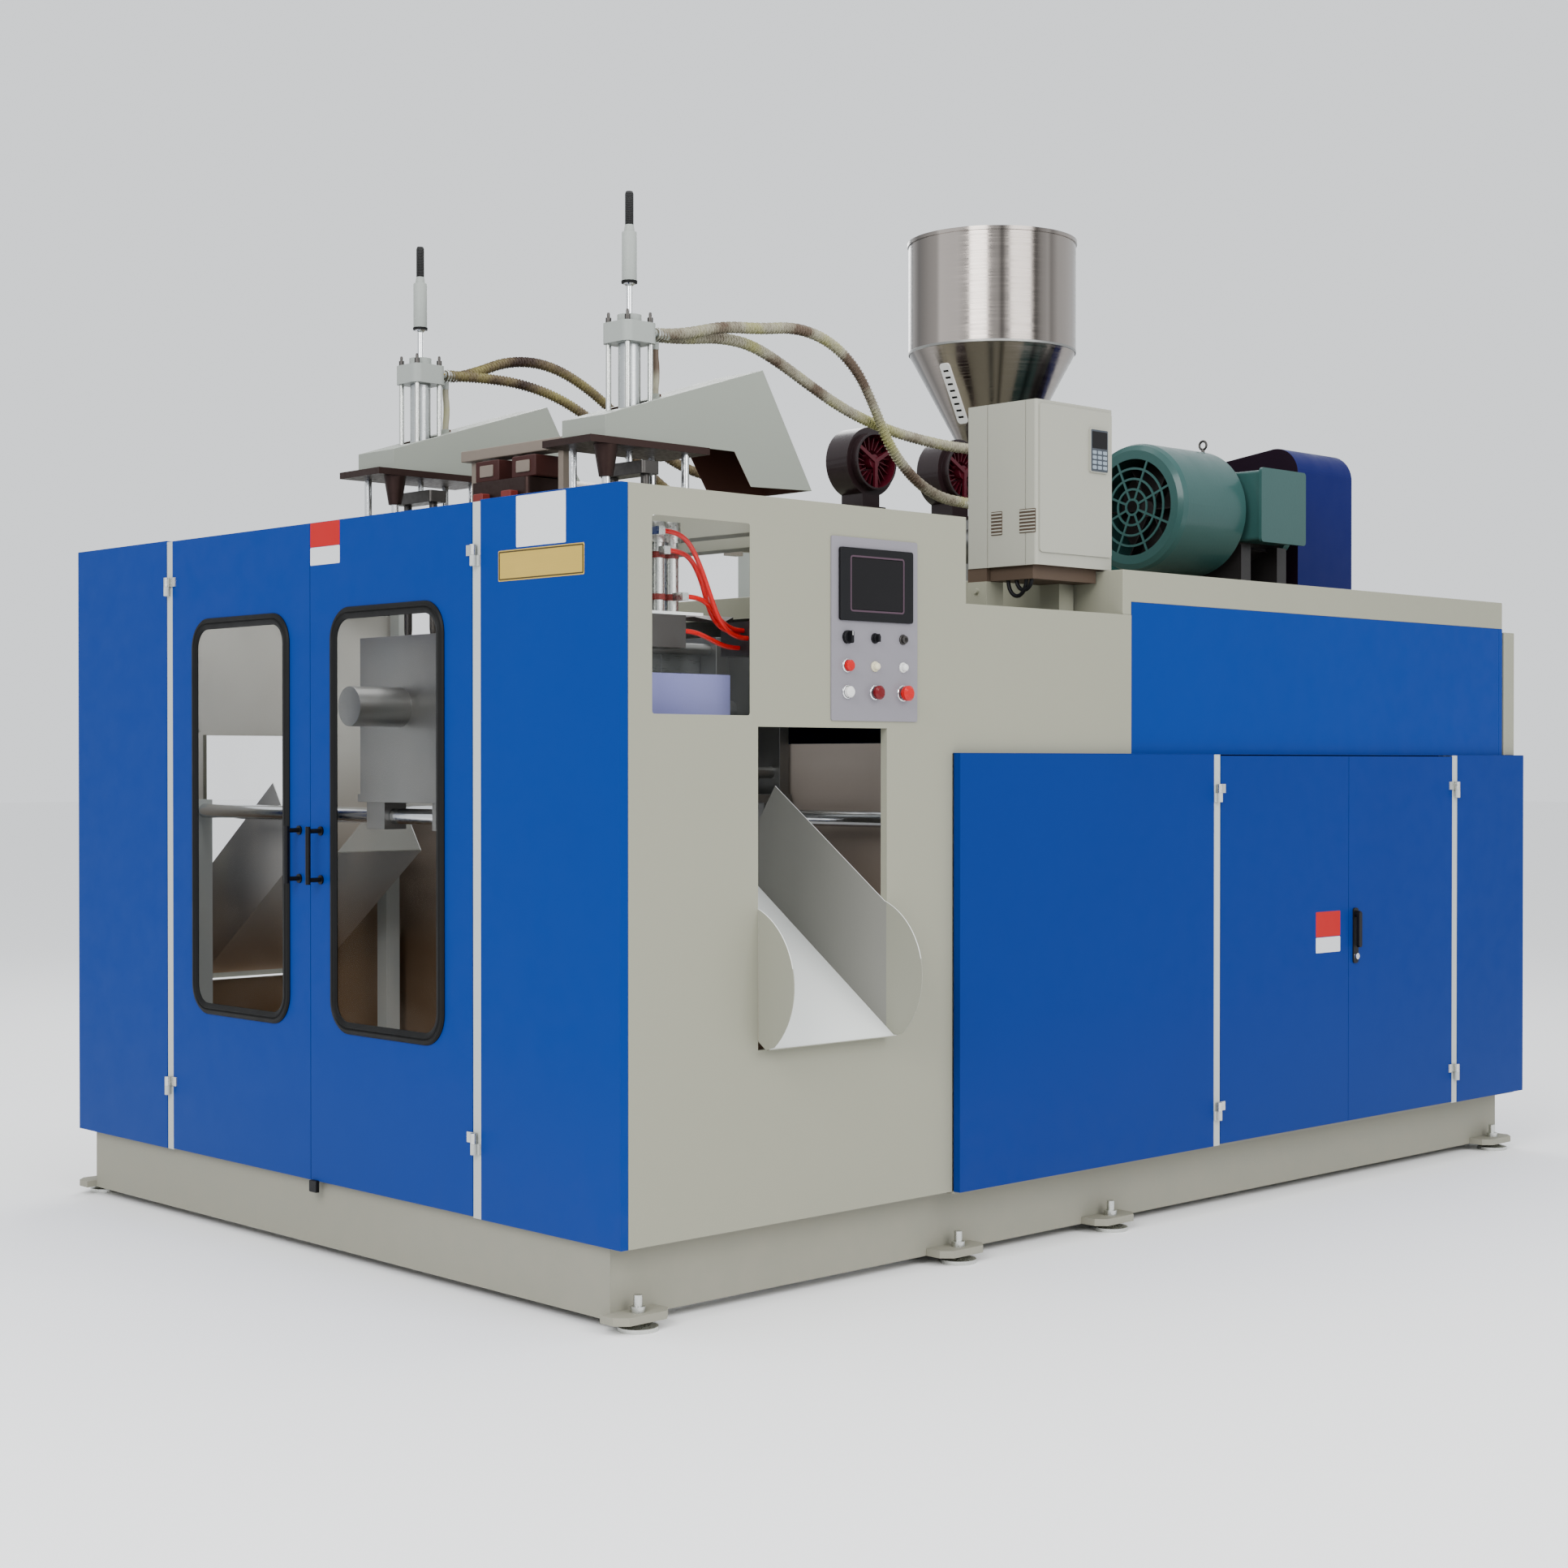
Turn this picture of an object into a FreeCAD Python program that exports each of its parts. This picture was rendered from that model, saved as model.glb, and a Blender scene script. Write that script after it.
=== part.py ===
import FreeCAD, Part
import math
import os

os.makedirs("parts", exist_ok=True)
V = FreeCAD.Vector

# Two-station extrusion blow moulding machine, millimetres.
# X runs across the machine, Y from the operator's doors to the back, Z up from the floor.
# Heights and depths below are taken from the front face of the enclosure and from the floor.
# The finished parts are moved so that Y = 0 is the middle of the machine's length.

# ---- enclosure ----
halfWidth = 1475.0
frontTop = 2234.0
panelBottom = 224.0
frontDepth = 1340.0
lowerTop = 1528.0
lowerStart = 1281.0
stepTop = 1976.0
stepEnd = 2133.0
deckBottom = 2018.0
deckTop = 2120.0
deckStart = 2090.0
deckSheet = 6.0
deckEnd = 4436.0
rearFace = 4545.0
lowerProud = 30.0
sheet = 2.0
panelDepth = 25.0
seam = 2.0
postWidth = 36.0
cornerPost = 58.0
postWall = 4.0
postFace = halfWidth - panelDepth
postInner = postFace - cornerPost
topGap = 4.0
midPost = lowerStart + topGap
stepPost = stepEnd - cornerPost
rearPostY = deckEnd - panelDepth - cornerPost
stripDepth = 60.0
bulkheadTop = 1560.0
ductWide = 55.0
ductDeep = 76.0
ductGap = 16.0
beamDeep = 80.0

# ---- base ----
baseHalfWidth = halfWidth - 75
baseBottom = 26.0
baseStart = panelDepth
baseEnd = rearFace - panelDepth
beamFlange = 75.0
beamWeb = 10.0
sillThick = 8.0
crossBeams = [1290.0, 2350.0, 3450.0]
footStations = [85.0, 1343.0, 2070.0, 4425.0]
footReach = 85.0
footLug = 22.0
footWidth = 190.0
padRadius = 55.0
padHeight = 20.0
studRadius = 12.0

# ---- front doors ----
hingeX = 846.0
hingeStand = 11.0
hingePin = 5.0
hingeBarrel = 9.0
hingeClearance = 0.06
hingeHalf = 30.0
frontHingeHeights = [435.0, 2080.0]
doorWindowNear = 130.0
doorWindowFar = 680.0
doorWindowBottom = 705.0
doorWindowTop = 1950.0
doorWindowRadius = 80.0
sealLip = 12.0
sealCore = 4.0
paneThick = 4.0
handleX = 60.0
handleLow = 1132.0
handleHigh = 1308.0
handleRadius = 8.0
handleStand = 47.0

# ---- side walls ----
sideWindow = (108.0, 460.0, 1630.0, 2155.0)
chuteWindow = (490.0, 1000.0, 710.0, 1600.0)
controlCut = (785.0, 1109.0, 1640.0, 2123.0)

# ---- discharge chutes ----
chuteSheet = 3.0
chuteTopX = 840.0
chuteTopZ = 1190.0
chuteLipX = halfWidth + 30
chuteLipZ = 716.0
chuteRimInner = (1007.0, 1431.0)
chuteRimOuter = (halfWidth - 7, 1101.0)
chuteBulge = (halfWidth + 140, 925.0)
chuteReturn = (halfWidth + 63, 722.0)

# ---- control station ----
plateThick = 4.0
controlPlate = (770.0, 1124.0, 1620.0, 2143.0)
screenFrame = (798.0, 1098.0, 1905.0, 2113.0)
screenPane = (843.0, 1053.0, 1937.0, 2085.0)
screenThick = 9.0
controlColumns = [832.0, 945.0, 1062.0]
controlRows = [1858.0, 1777.0, 1702.0]
buttonStem = 8.0
buttonTravel = 6.0
stemClearance = 0.08

# ---- drive cabinet doors ----
cabinetHingeFront = 2554.0
cabinetHingeRear = 4044.0
frontDoorShare = 0.523
cabinetSeam = cabinetHingeFront + frontDoorShare * (cabinetHingeRear - cabinetHingeFront)
cabinetHingeHeights = [340.0, 1400.0]
leverInset = 41.0
leverY = cabinetSeam + leverInset
leverZ = 962.0
leverLength = 118.0

# ---- inverter ----
inverterBox = (halfWidth - 365, halfWidth - 75, 1750.0, 2130.0)
inverterBottom = deckTop + 2
inverterTop = 2640.0

# ---- extruder ----
barrelAxis = 2345.0
barrelRadius = 68.0
screwRadius = 44.0
screwRoot = 30.0
screwPitch = 90.0
barrelFront = 930.0
throatY = 3129.0
gearboxFront = 3300.0
gearboxBack = 3760.0
gearboxRise = 265.0
thrustLength = 60.0
bandRadius = 95.0
bandLength = 150.0
bandGap = 22.0
blowerStations = [2391.0, 2883.0]
blowerRadius = 128.0
blowerLift = 50.0
blowerHeight = barrelAxis + bandRadius + blowerLift + blowerRadius
hopperRadius = 328.0
hopperTop = 3544.0
hopperWaist = 3110.0
hopperNeck = 80.0
neckTop = 2650.0
hopperWall = 3.0

# ---- die head ----
moldY = 800.0
cavityPitch = 150.0
headBottom = 1925.0
headSkirt = 2170.0

# ---- drive ----
motorX = 780.0
motorAxis = 2440.0
cowlRadius = 235.0
cowlFront = 3020.0
cowlEnd = 3400.0
motorEnd = 3790.0
motorRadius = 190.0
finCount = 28
finHeight = 16.0
shaftRadius = 30.0
guardFront = 3830.0
guardBack = 4200.0
guardWall = 3.0
guardReach = 170.0
guardRise = 295.0
guardRoom = 48.0
guardShoulder = 105.0
motorPulley = 105.0
inputPulley = 190.0
inputAxis = barrelAxis
beltCount = 6
beltPitch = 24.0

# ---- blow stations ----
stationX = 558.0
pinRadius = 14.0
pinTip = 1880.0
pinShoulder = 1960.0
blowStroke = 80.0
lowerPlateZ = 2230.0
upperPlateZ = 2466.0
crossheadZ = 2390.0
crossheadThick = 40.0
blowPostRadius = 12.5
blowPostX = 80.0
blowPostY = 160.0
cylinderBase = 2540.0
cylinderTop = 2800.0
cylinderRadius = 31.0
capHeight = 90.0
capHalf = 65.0
rodRadius = 10.0
hoodHalf = 105.0
hoodProfile = [(617, 2488), (617, 2555), (1270, 2760), (1490, 2390), (1217, 2382), (1146, 2488)]

# ---- mould carriages ----
railRadius = 25.0
railHeight = 1330.0
railStations = [400.0, 1200.0]
railReach = postInner - 42
railProud = 20.0
railLeg = 30.0
railSeat = 0.2
carriageHalf = 240.0
endPlate = 40.0
tieBarRadius = 18.0
tieBarX = 185.0
tieBarHeights = [1470.0, 1850.0]
platenHalf = 225.0
platenThick = 50.0
platenLow = 1432.0
platenHigh = 1888.0
moldHalf = 150.0
moldDepth = 160.0
moldLow = 1500.0
moldHigh = 1850.0
partingGap = 0.4
slideClearance = 0.06

clampRod = 25.0
clampBarrel = 190.0
clampStroke = 150.0
endPlateReach = 70.0

# ---- hoses and air ----
hoseRadius = 14.0
dropRadius = 11.0
dropReach = 105.0
dropTop = 2795.0
hoodGlandTop = 2656.0
nippleLength = 25.0
nippleZ = 2842.0
hoseStart = moldY + capHalf + nippleLength
rackFace = 2370.0
airHoseRadius = 7.0
airShelf = 1913.0
airValves = [225.0, 275.0, 325.0]
valveX = postInner - 90
valveHeight = 190.0
airPorts = [(valveX + 70, 2128.0), (valveX + 34, 2080.0), (valveX + 52, 1955.0)]
airOutlet = 545.0
airBlockEnd = 340.0

frontProud = handleStand + handleRadius
midLength = (rearFace - frontProud) / 2

written = []


def save(node, *solids):
    """Write one node, moved to the machine's own frame."""
    shape = solids[0] if len(solids) == 1 else Part.makeCompound(list(solids))
    shape = shape.copy()
    shape.translate(V(0, -midLength, 0))
    if not shape.isValid():
        print("not valid:", node)
    shape.exportStep("parts/" + node + ".step")
    written.append(node)


def box(x0, x1, y0, y1, z0, z1):
    return Part.makeBox(x1 - x0, y1 - y0, z1 - z0, V(x0, y0, z0))


def rod(base, direction, length, radius):
    return Part.makeCylinder(radius, length, V(*base), V(*direction))


def tube(base, direction, length, outer, inner):
    return rod(base, direction, length, outer).cut(rod(base, direction, length, inner))


def fuse(*solids):
    return solids[0].multiFuse(list(solids[1:])).removeSplitter()


def mirrored(shape):
    return shape.mirror(V(0, 0, 0), V(1, 0, 0))


def moved(shape, x=0.0, y=0.0, z=0.0):
    copy = shape.copy()
    copy.translate(V(x, y, z))
    return copy


def placed(axis, level, a, b):
    """A point on the plane across an axis: 'x' takes (y, z), 'y' takes (x, z), 'z' takes (x, y)."""
    if axis == "x":
        return V(level, a, b)
    if axis == "y":
        return V(a, level, b)
    return V(a, b, level)


def slab(axis, low, high, edges):
    """A flat outline, pushed along its axis from low to high."""
    face = Part.Face(Part.Wire(edges))
    return face.extrude(placed(axis, high - low, 0, 0))


def polygonSlab(axis, low, high, points):
    corners = [placed(axis, low, a, b) for a, b in points]
    return slab(axis, low, high, Part.makePolygon(corners + corners[:1]).Edges)


def roundedSlab(axis, low, high, a0, a1, b0, b1, radius):
    """A rectangle with round corners, pushed along its axis."""
    k = radius * (1 - math.sqrt(0.5))
    ends = [(a0 + radius, b0), (a1 - radius, b0), (a1, b0 + radius), (a1, b1 - radius)]
    ends += [(a1 - radius, b1), (a0 + radius, b1), (a0, b1 - radius), (a0, b0 + radius)]
    middles = [(a1 - k, b0 + k), (a1 - k, b1 - k), (a0 + k, b1 - k), (a0 + k, b0 + k)]
    edges = []
    for i in range(4):
        start = placed(axis, low, *ends[2 * i])
        stop = placed(axis, low, *ends[2 * i + 1])
        after = placed(axis, low, *ends[(2 * i + 2) % 8])
        middle = placed(axis, low, *middles[i])
        edges.append(Part.LineSegment(start, stop).toShape())
        edges.append(Part.Arc(stop, middle, after).toShape())
    return slab(axis, low, high, edges)


def turned(profile, base, direction):
    """A profile of (radius, height) turned about an axis through base."""
    points = [V(r, 0, h) for r, h in profile]
    face = Part.Face(Part.makePolygon(points + points[:1]))
    solid = face.revolve(V(0, 0, 0), V(0, 0, 1), 360)
    turn = FreeCAD.Rotation(V(0, 0, 1), V(*direction))
    solid.Placement = FreeCAD.Placement(V(*base), turn)
    return solid


def tray(axis, face, inward, a0, a1, b0, b1, depth=panelDepth):
    """A folded sheet-metal panel: a face with four returned edges, open at the back."""
    back = face + inward * depth
    skin = face + inward * sheet
    outer = slabBox(axis, face, back, a0, a1, b0, b1)
    inner = slabBox(axis, skin, back, a0 + sheet, a1 - sheet, b0 + sheet, b1 - sheet)
    return outer.cut(inner)


def slabBox(axis, p, q, a0, a1, b0, b1):
    low = min(p, q)
    high = max(p, q)
    if axis == "x":
        return box(low, high, a0, a1, b0, b1)
    if axis == "y":
        return box(a0, a1, low, high, b0, b1)
    return box(a0, a1, b0, b1, low, high)


def squareTube(x0, x1, y0, y1, z0, z1, along="z"):
    """A square tube with open ends."""
    w = postWall
    outer = box(x0, x1, y0, y1, z0, z1)
    if along == "z":
        return outer.cut(box(x0 + w, x1 - w, y0 + w, y1 - w, z0, z1))
    if along == "y":
        return outer.cut(box(x0 + w, x1 - w, y0, y1, z0 + w, z1 - w))
    return outer.cut(box(x0, x1, y0 + w, y1 - w, z0 + w, z1 - w))


def hose(points, radius):
    """A hose of straight runs joined by tangent arcs; prints its tightest bend and volume check."""
    p = [V(*q) for q in points]
    edges = []
    start = p[0]
    tightest = 1e9
    for a, b, c in zip(p, p[1:], p[2:]):
        u = (b - a).normalize()
        w = (c - b).normalize()
        half = u.getAngle(w) / 2
        run = 0.45 * min((b - a).Length, (c - b).Length)
        bend = run / math.tan(half)
        tightest = min(tightest, bend)
        first = b - u * run
        last = b + w * run
        bisector = (w - u).normalize()
        middle = b + bisector * (bend / math.cos(half) - bend)
        edges.append(Part.LineSegment(start, first).toShape())
        edges.append(Part.Arc(first, middle, last).toShape())
        start = last
    edges.append(Part.LineSegment(start, p[-1]).toShape())
    spine = Part.Wire(edges)
    ring = Part.Wire([Part.Circle(p[0], p[1] - p[0], radius).toShape()])
    solid = spine.makePipeShell([ring], True, False)
    ratio = solid.Volume / (math.pi * radius**2 * spine.Length)
    print("hose: length %.0f, tightest bend %.0f, volume ratio %.4f" % (spine.Length, tightest, ratio))
    return solid


# ---------------------------------------------------------------- base
def baseFrame():
    """Welded base: two long channels, cross-members between them, sill plates and lugs for the feet."""
    w = baseHalfWidth
    inset = beamWeb
    edge = beamFlange
    top = panelBottom
    rails = []
    for side in (-1, 1):
        outer = slabBox("x", side * w, side * (w - edge), baseStart, baseEnd, baseBottom, top)
        trough = slabBox(
            "x", side * (w - inset), side * (w - edge), baseStart, baseEnd, baseBottom + inset, top - inset
        )
        rails.append(outer.cut(trough))
    spans = [(baseStart, baseStart + edge), (baseEnd - edge, baseEnd)]
    spans += [(y - edge / 2, y + edge / 2) for y in crossBeams]
    members = [squareChannel(front, back).cut(rails[0]).cut(rails[1]) for front, back in spans]
    plates = []
    for y in footStations:
        for side in (-1, 1):
            plates.append(footPlate(side, y))
    low = top - sillThick
    cabinet = halfWidth + lowerProud - panelDepth
    for side in (-1, 1):
        plates.append(slabBox("x", side * w, side * postFace, panelDepth, lowerStart, low, top))
        plates.append(slabBox("x", side * w, side * cabinet, lowerStart, baseEnd, low, top))
    save("base_frame", *rails, *members, *plates)


def footPlate(side, y):
    """Lug welded to the outside of a long channel, with the hole for a foot's stud."""
    x0 = baseHalfWidth
    x1 = x0 + footReach
    half = footWidth / 2
    bevel = 30
    corners = [(x0, y - half), (x1 - bevel, y - half), (x1, y - half + bevel)]
    corners += [(x1, y + half - bevel), (x1 - bevel, y + half), (x0, y + half)]
    lug = polygonSlab("z", baseBottom, baseBottom + footLug, [(side * x, v) for x, v in corners])
    return lug.cut(rod((side * (x0 + footReach / 2), y, baseBottom - 1), (0, 0, 1), footLug + 2, studRadius + 1))


def squareChannel(front, back):
    """A cross-member between the two long channels, open at the bottom."""
    w = baseHalfWidth - beamWeb
    outer = box(-w, w, front, back, baseBottom, panelBottom)
    trough = box(-w + beamFlange, w - beamFlange, front + beamWeb, back - beamWeb, baseBottom, panelBottom - beamWeb)
    return outer.cut(trough)


def levellingFeet():
    """A pad on the floor, its stud through the lug, and a nut above and below."""
    feet = []
    for y in footStations:
        for side in (-1, 1):
            x = side * (baseHalfWidth + footReach / 2)
            lugTop = baseBottom + footLug
            profile = [
                (0, 0),
                (padRadius, 0),
                (padRadius, padHeight * 0.6),
                (studRadius * 1.7, padHeight),
                (studRadius * 1.7, baseBottom),
                (studRadius, baseBottom),
                (studRadius, lugTop),
                (studRadius * 1.7, lugTop),
                (studRadius * 1.7, lugTop + 16),
                (studRadius, lugTop + 16),
                (studRadius, lugTop + 46),
                (0, lugTop + 46),
            ]
            feet.append(turned(profile, (x, y, 0), (0, 0, 1)))
    save("levelling_feet", *feet)


# ---------------------------------------------------------------- frame
def hingeLower(x, y, z, outward, toPost):
    """Fixed half of a lift-off hinge: barrel, pin and its weld lug."""
    direction = V(*outward)
    centre = V(x, y, 0) + direction * hingeStand
    barrel = rod((centre.x, centre.y, z - hingeHalf), (0, 0, 1), hingeHalf - 0.3, hingeBarrel)
    pin = rod((centre.x, centre.y, z - hingeHalf), (0, 0, 1), 2 * hingeHalf - 4, hingePin)
    return fuse(barrel, pin, hingeLug(x, y, direction, V(*toPost), z - hingeHalf, z - 0.3, -sheet))


def hingeUpper(x, y, z, outward, toDoor):
    """Moving half of a lift-off hinge, bored for the pin."""
    direction = V(*outward)
    centre = V(x, y, 0) + direction * hingeStand
    barrel = rod((centre.x, centre.y, z), (0, 0, 1), hingeHalf, hingeBarrel)
    body = fuse(barrel, hingeLug(x, y, direction, V(*toDoor), z, z + hingeHalf, 0.0))
    bore = rod((centre.x, centre.y, z), (0, 0, 1), hingeHalf - 3, hingePin + hingeClearance)
    return body.cut(bore)


def hingeLug(x, y, outward, along, z0, z1, seat):
    """A flat lug from the barrel to the sheet, seat below the face."""
    reach = 17.0 if seat < 0 else 42.0
    a = V(x, y, 0) + outward * seat
    b = V(x, y, 0) + outward * 4 + along * reach
    x0, x1 = sorted((a.x, b.x))
    y0, y1 = sorted((a.y, b.y))
    return box(x0, x1, y0, y1, z0, z1)


def enclosurePosts():
    """Uprights of the enclosure, the strips between the doors and their lift-off hinge halves."""
    half = postWidth / 2
    posts = []
    for side in (-1, 1):
        middle = side * hingeX
        top = frontTop - topGap
        strip = squareTube(middle - half, middle + half, sheet, sheet + stripDepth, panelBottom, top)
        lowers = [hingeLower(side * hingeX, 0, z, (0, -1, 0), (side, 0, 0)) for z in frontHingeHeights]
        posts.append(fuse(strip, *lowers))
        ends = [(panelDepth, top), (midPost, top), (stepPost, stepTop - topGap), (rearPostY, deckBottom)]
        for y, height in ends:
            x0, x1 = sorted((side * postInner, side * postFace))
            posts.append(squareTube(x0, x1, y, y + cornerPost, panelBottom, height))
        for y in railStations:
            x0, x1 = sorted((side * (railReach + railProud - 2 * railLeg), side * (railReach + railProud)))
            leg = box(x0, x1, y - railLeg, y + railLeg, panelBottom, railHeight + railLeg + 10)
            posts.append(leg.cut(rod((x0, y, railHeight), (1, 0, 0), x1 - x0, railRadius + railSeat)))
    face = halfWidth + lowerProud
    for y in (cabinetHingeFront, cabinetHingeRear):
        for side in (-1, 1):
            x0, x1 = sorted((side * (face - sheet), side * (face - stripDepth)))
            strip = squareTube(x0, x1, y - half, y + half, panelBottom, lowerTop)
            if side > 0:
                toPost = (0, -1, 0) if y == cabinetHingeFront else (0, 1, 0)
                lowers = [hingeLower(face, y, z, (1, 0, 0), toPost) for z in cabinetHingeHeights]
                strip = fuse(strip, *lowers)
            posts.append(strip)
    save("enclosure_posts", *posts)


def crossBeamSet():
    """Top rails of the enclosure, the two beams that carry the blow stations and the deck's bearers."""
    spans = [
        (panelDepth + cornerPost, midPost, frontTop - topGap),
        (midPost + cornerPost, stepPost, stepTop - topGap),
        (stepEnd, rearPostY, deckBottom),
    ]
    beams = []
    for side in (-1, 1):
        x0, x1 = sorted((side * postInner, side * postFace))
        for y0, y1, top in spans:
            beams.append(squareTube(x0, x1, y0, y1, top - cornerPost, top, "y"))
    across = [(moldY - blowPostY, lowerPlateZ), (moldY + blowPostY, lowerPlateZ)]
    across += [(y, deckBottom) for y in (throatY, gearboxBack, guardBack + beamDeep / 2)]
    for y, top in across:
        half = beamDeep / 2
        beams.append(squareTube(-postInner, postInner, y - half, y + half, top - beamDeep, top, "x"))
    save("cross_beams", *beams)


# ---------------------------------------------------------------- skins
def frontPanels():
    """Fixed panels on each side of the doors."""
    left = -halfWidth
    right = -hingeX - postWidth / 2 - seam
    panel = tray("y", 0, 1, left, right, panelBottom, frontTop)
    save("front_panels", panel, mirrored(panel))


def sideWall():
    """One side wall: a stepped sheet with returned openings for the chute, window and controls."""
    outer = halfWidth
    skin = outer - sheet
    start = panelDepth + 1
    outline = [
        (start, panelBottom),
        (lowerStart, panelBottom),
        (lowerStart, lowerTop),
        (stepEnd, lowerTop),
        (stepEnd, stepTop),
        (frontDepth, stepTop),
        (frontDepth, frontTop),
        (start, frontTop),
    ]
    wall = polygonSlab("x", skin, outer, outline)
    back = outer - panelDepth
    rims = [
        box(back, outer, start, start + sheet, panelBottom, frontTop),
        box(back, outer, start, frontDepth, frontTop - sheet, frontTop),
        box(back, outer, start, lowerStart, panelBottom, panelBottom + sheet),
        box(back, outer, frontDepth - sheet, frontDepth, stepTop, frontTop),
        box(back, outer, frontDepth - sheet, stepEnd, stepTop - sheet, stepTop),
        box(back, outer, stepEnd - sheet, stepEnd, lowerTop, stepTop),
    ]
    y0, y1, z0, z1 = chuteWindow
    rim = box(back, outer, y0 - sheet, y1 + sheet, z0 - sheet, z1 + sheet)
    wall = fuse(wall, *rims, rim)
    wall = wall.cut(box(back, outer, y0, y1, z0, z1))
    y0, y1, z0, z1 = sideWindow
    wall = wall.cut(roundedSlab("x", back, outer, y0, y1, z0, z1, 8))
    return wall


def sidePanels():
    left = mirrored(sideWall())
    y0, y1, z0, z1 = controlCut
    right = sideWall().cut(box(halfWidth - panelDepth, halfWidth, y0, y1, z0, z1))
    save("side_panels", left, right, bulkhead())


def bulkhead():
    """Sheet between the mould bay and the drive cabinet, folded back along its top."""
    sheetWall = box(-postInner, postInner, midPost, midPost + sheet, panelBottom, bulkheadTop)
    fold = box(-postInner, postInner, midPost, midPost + panelDepth, bulkheadTop - sheet, bulkheadTop)
    return fuse(sheetWall, fold)


def sideWindows():
    """Clear panes behind the side walls' small windows."""
    y0, y1, z0, z1 = sideWindow
    x1 = halfWidth - sheet
    lap = 20.0
    pane = roundedSlab("x", x1 - paneThick, x1, y0 - lap, y1 + lap, z0 - lap, z1 + lap, 12)
    save("side_windows", mirrored(pane), pane)


def lowerPanels():
    """Fixed panels of the drive cabinet: both sides and the back."""
    face = halfWidth + lowerProud
    half = postWidth / 2
    panels = []
    spans = [(lowerStart + 1, cabinetHingeFront - half), (cabinetHingeRear + half, rearFace - panelDepth)]
    for y0, y1 in spans:
        panels.append(tray("x", face, -1, y0, y1, panelBottom, lowerTop))
    spans.append((cabinetHingeFront + half, cabinetSeam - 1))
    spans.append((cabinetSeam + 1, cabinetHingeRear - half))
    for y0, y1 in spans:
        panel = tray("x", -face, 1, y0, y1, panelBottom, lowerTop)
        panels.append(panel.cut(louvreSlots(-face, y0, y1)))
    panels.append(tray("y", rearFace, -1, -face, -1, panelBottom, lowerTop))
    panels.append(tray("y", rearFace, -1, 1, face, panelBottom, lowerTop))
    save("lower_panels", *panels)


def louvreSlots(face, y0, y1):
    """Rows of air slots high up in a cabinet panel."""
    middle = (y0 + y1) / 2
    length = min(360.0, (y1 - y0) * 0.55)
    slots = []
    for i in range(5):
        z = lowerTop - 180 - 40 * i
        slots.append(box(face - 1, face + sheet + 1, middle - length / 2, middle + length / 2, z - 7, z + 7))
    return Part.makeCompound(slots)


def upperPanels():
    """Blue panels between the lower cabinet and the deck: both sides and the back."""
    y0 = stepEnd + 1
    y1 = deckEnd - panelDepth - 1
    right = tray("x", halfWidth, -1, y0, y1, lowerTop + 1, deckBottom)
    back = tray("y", deckEnd, -1, -halfWidth, halfWidth, lowerTop + 1, deckBottom)
    save("upper_panels", right, mirrored(right), back)


def roofSheets():
    """The flat roof of the step and the ledge round the top of the lower cabinet."""
    step = box(-postFace, postFace, midPost + cornerPost + 1, deckStart + deckSheet, stepTop - topGap, stepTop)
    face = halfWidth + lowerProud
    ledgeBack = box(-face, face, deckEnd + 1, rearFace, lowerTop, lowerTop + sheet)
    right = box(halfWidth + 1, face, lowerStart, deckEnd + 1, lowerTop, lowerTop + sheet)
    left = box(-face, -halfWidth - 1, lowerStart, deckEnd + 1, lowerTop, lowerTop + sheet)
    save("roof_sheets", step, ledgeBack, right, left, cableDuct())


def rearDeck():
    """The machine deck: a deep folded sheet that carries the extruder and motor."""
    outer = box(-halfWidth, halfWidth, deckStart, deckEnd, deckBottom, deckTop)
    t = deckSheet
    inner = box(-halfWidth + t, halfWidth - t, deckStart + t, deckEnd - t, deckBottom, deckTop - t)
    apron = box(-halfWidth, halfWidth, deckStart, deckStart + t, stepTop, deckBottom)
    cheek = box(halfWidth - t, halfWidth, deckStart, stepEnd, stepTop, deckBottom)
    save("rear_deck", fuse(outer.cut(inner), apron, cheek, mirrored(cheek)))


def cableDuct():
    """The upright trunking at the back corner."""
    x0 = halfWidth - ductWide
    y0 = deckEnd + ductGap
    outer = box(x0, halfWidth, y0, y0 + ductDeep, lowerTop + sheet, deckBottom - 12)
    return outer.makeFillet(5, [e for e in outer.Edges if abs(e.Vertexes[0].Z - e.Vertexes[1].Z) > 100])


# ---------------------------------------------------------------- chutes
def chutes():
    """U-channel chutes that slope to the side walls, with round side cheeks outside."""
    y0, y1, _, _ = chuteWindow
    drop = (chuteTopZ - chuteLipZ) / (chuteLipX - chuteTopX)
    t = chuteSheet
    floor = polygonSlab(
        "y",
        y0 + t,
        y1 - t,
        [
            (chuteTopX, chuteTopZ),
            (chuteLipX, chuteLipZ),
            (chuteLipX + 14, chuteLipZ),
            (chuteLipX + 14, chuteLipZ - t),
            (chuteLipX, chuteLipZ - t),
            (chuteTopX, chuteTopZ - t * math.sqrt(1 + drop**2)),
        ],
    )
    sides = []
    for low in (y0, y1 - t):
        top = placed("y", low, *chuteRimOuter)
        foot = placed("y", low, *chuteReturn)
        middle = placed("y", low, *chuteBulge)
        heel = placed("y", low, chuteLipX, chuteLipZ - t)
        inner = placed("y", low, *chuteRimInner)
        tail = placed("y", low, chuteTopX, chuteTopZ - t * math.sqrt(1 + drop**2))
        edges = [
            Part.LineSegment(tail, inner).toShape(),
            Part.LineSegment(inner, top).toShape(),
            Part.Arc(top, middle, foot).toShape(),
            Part.LineSegment(foot, heel).toShape(),
            Part.LineSegment(heel, tail).toShape(),
        ]
        sides.append(slab("y", low, low + t, edges))
    chute = fuse(floor, *sides)
    save("chutes", mirrored(chute), chute)


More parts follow.
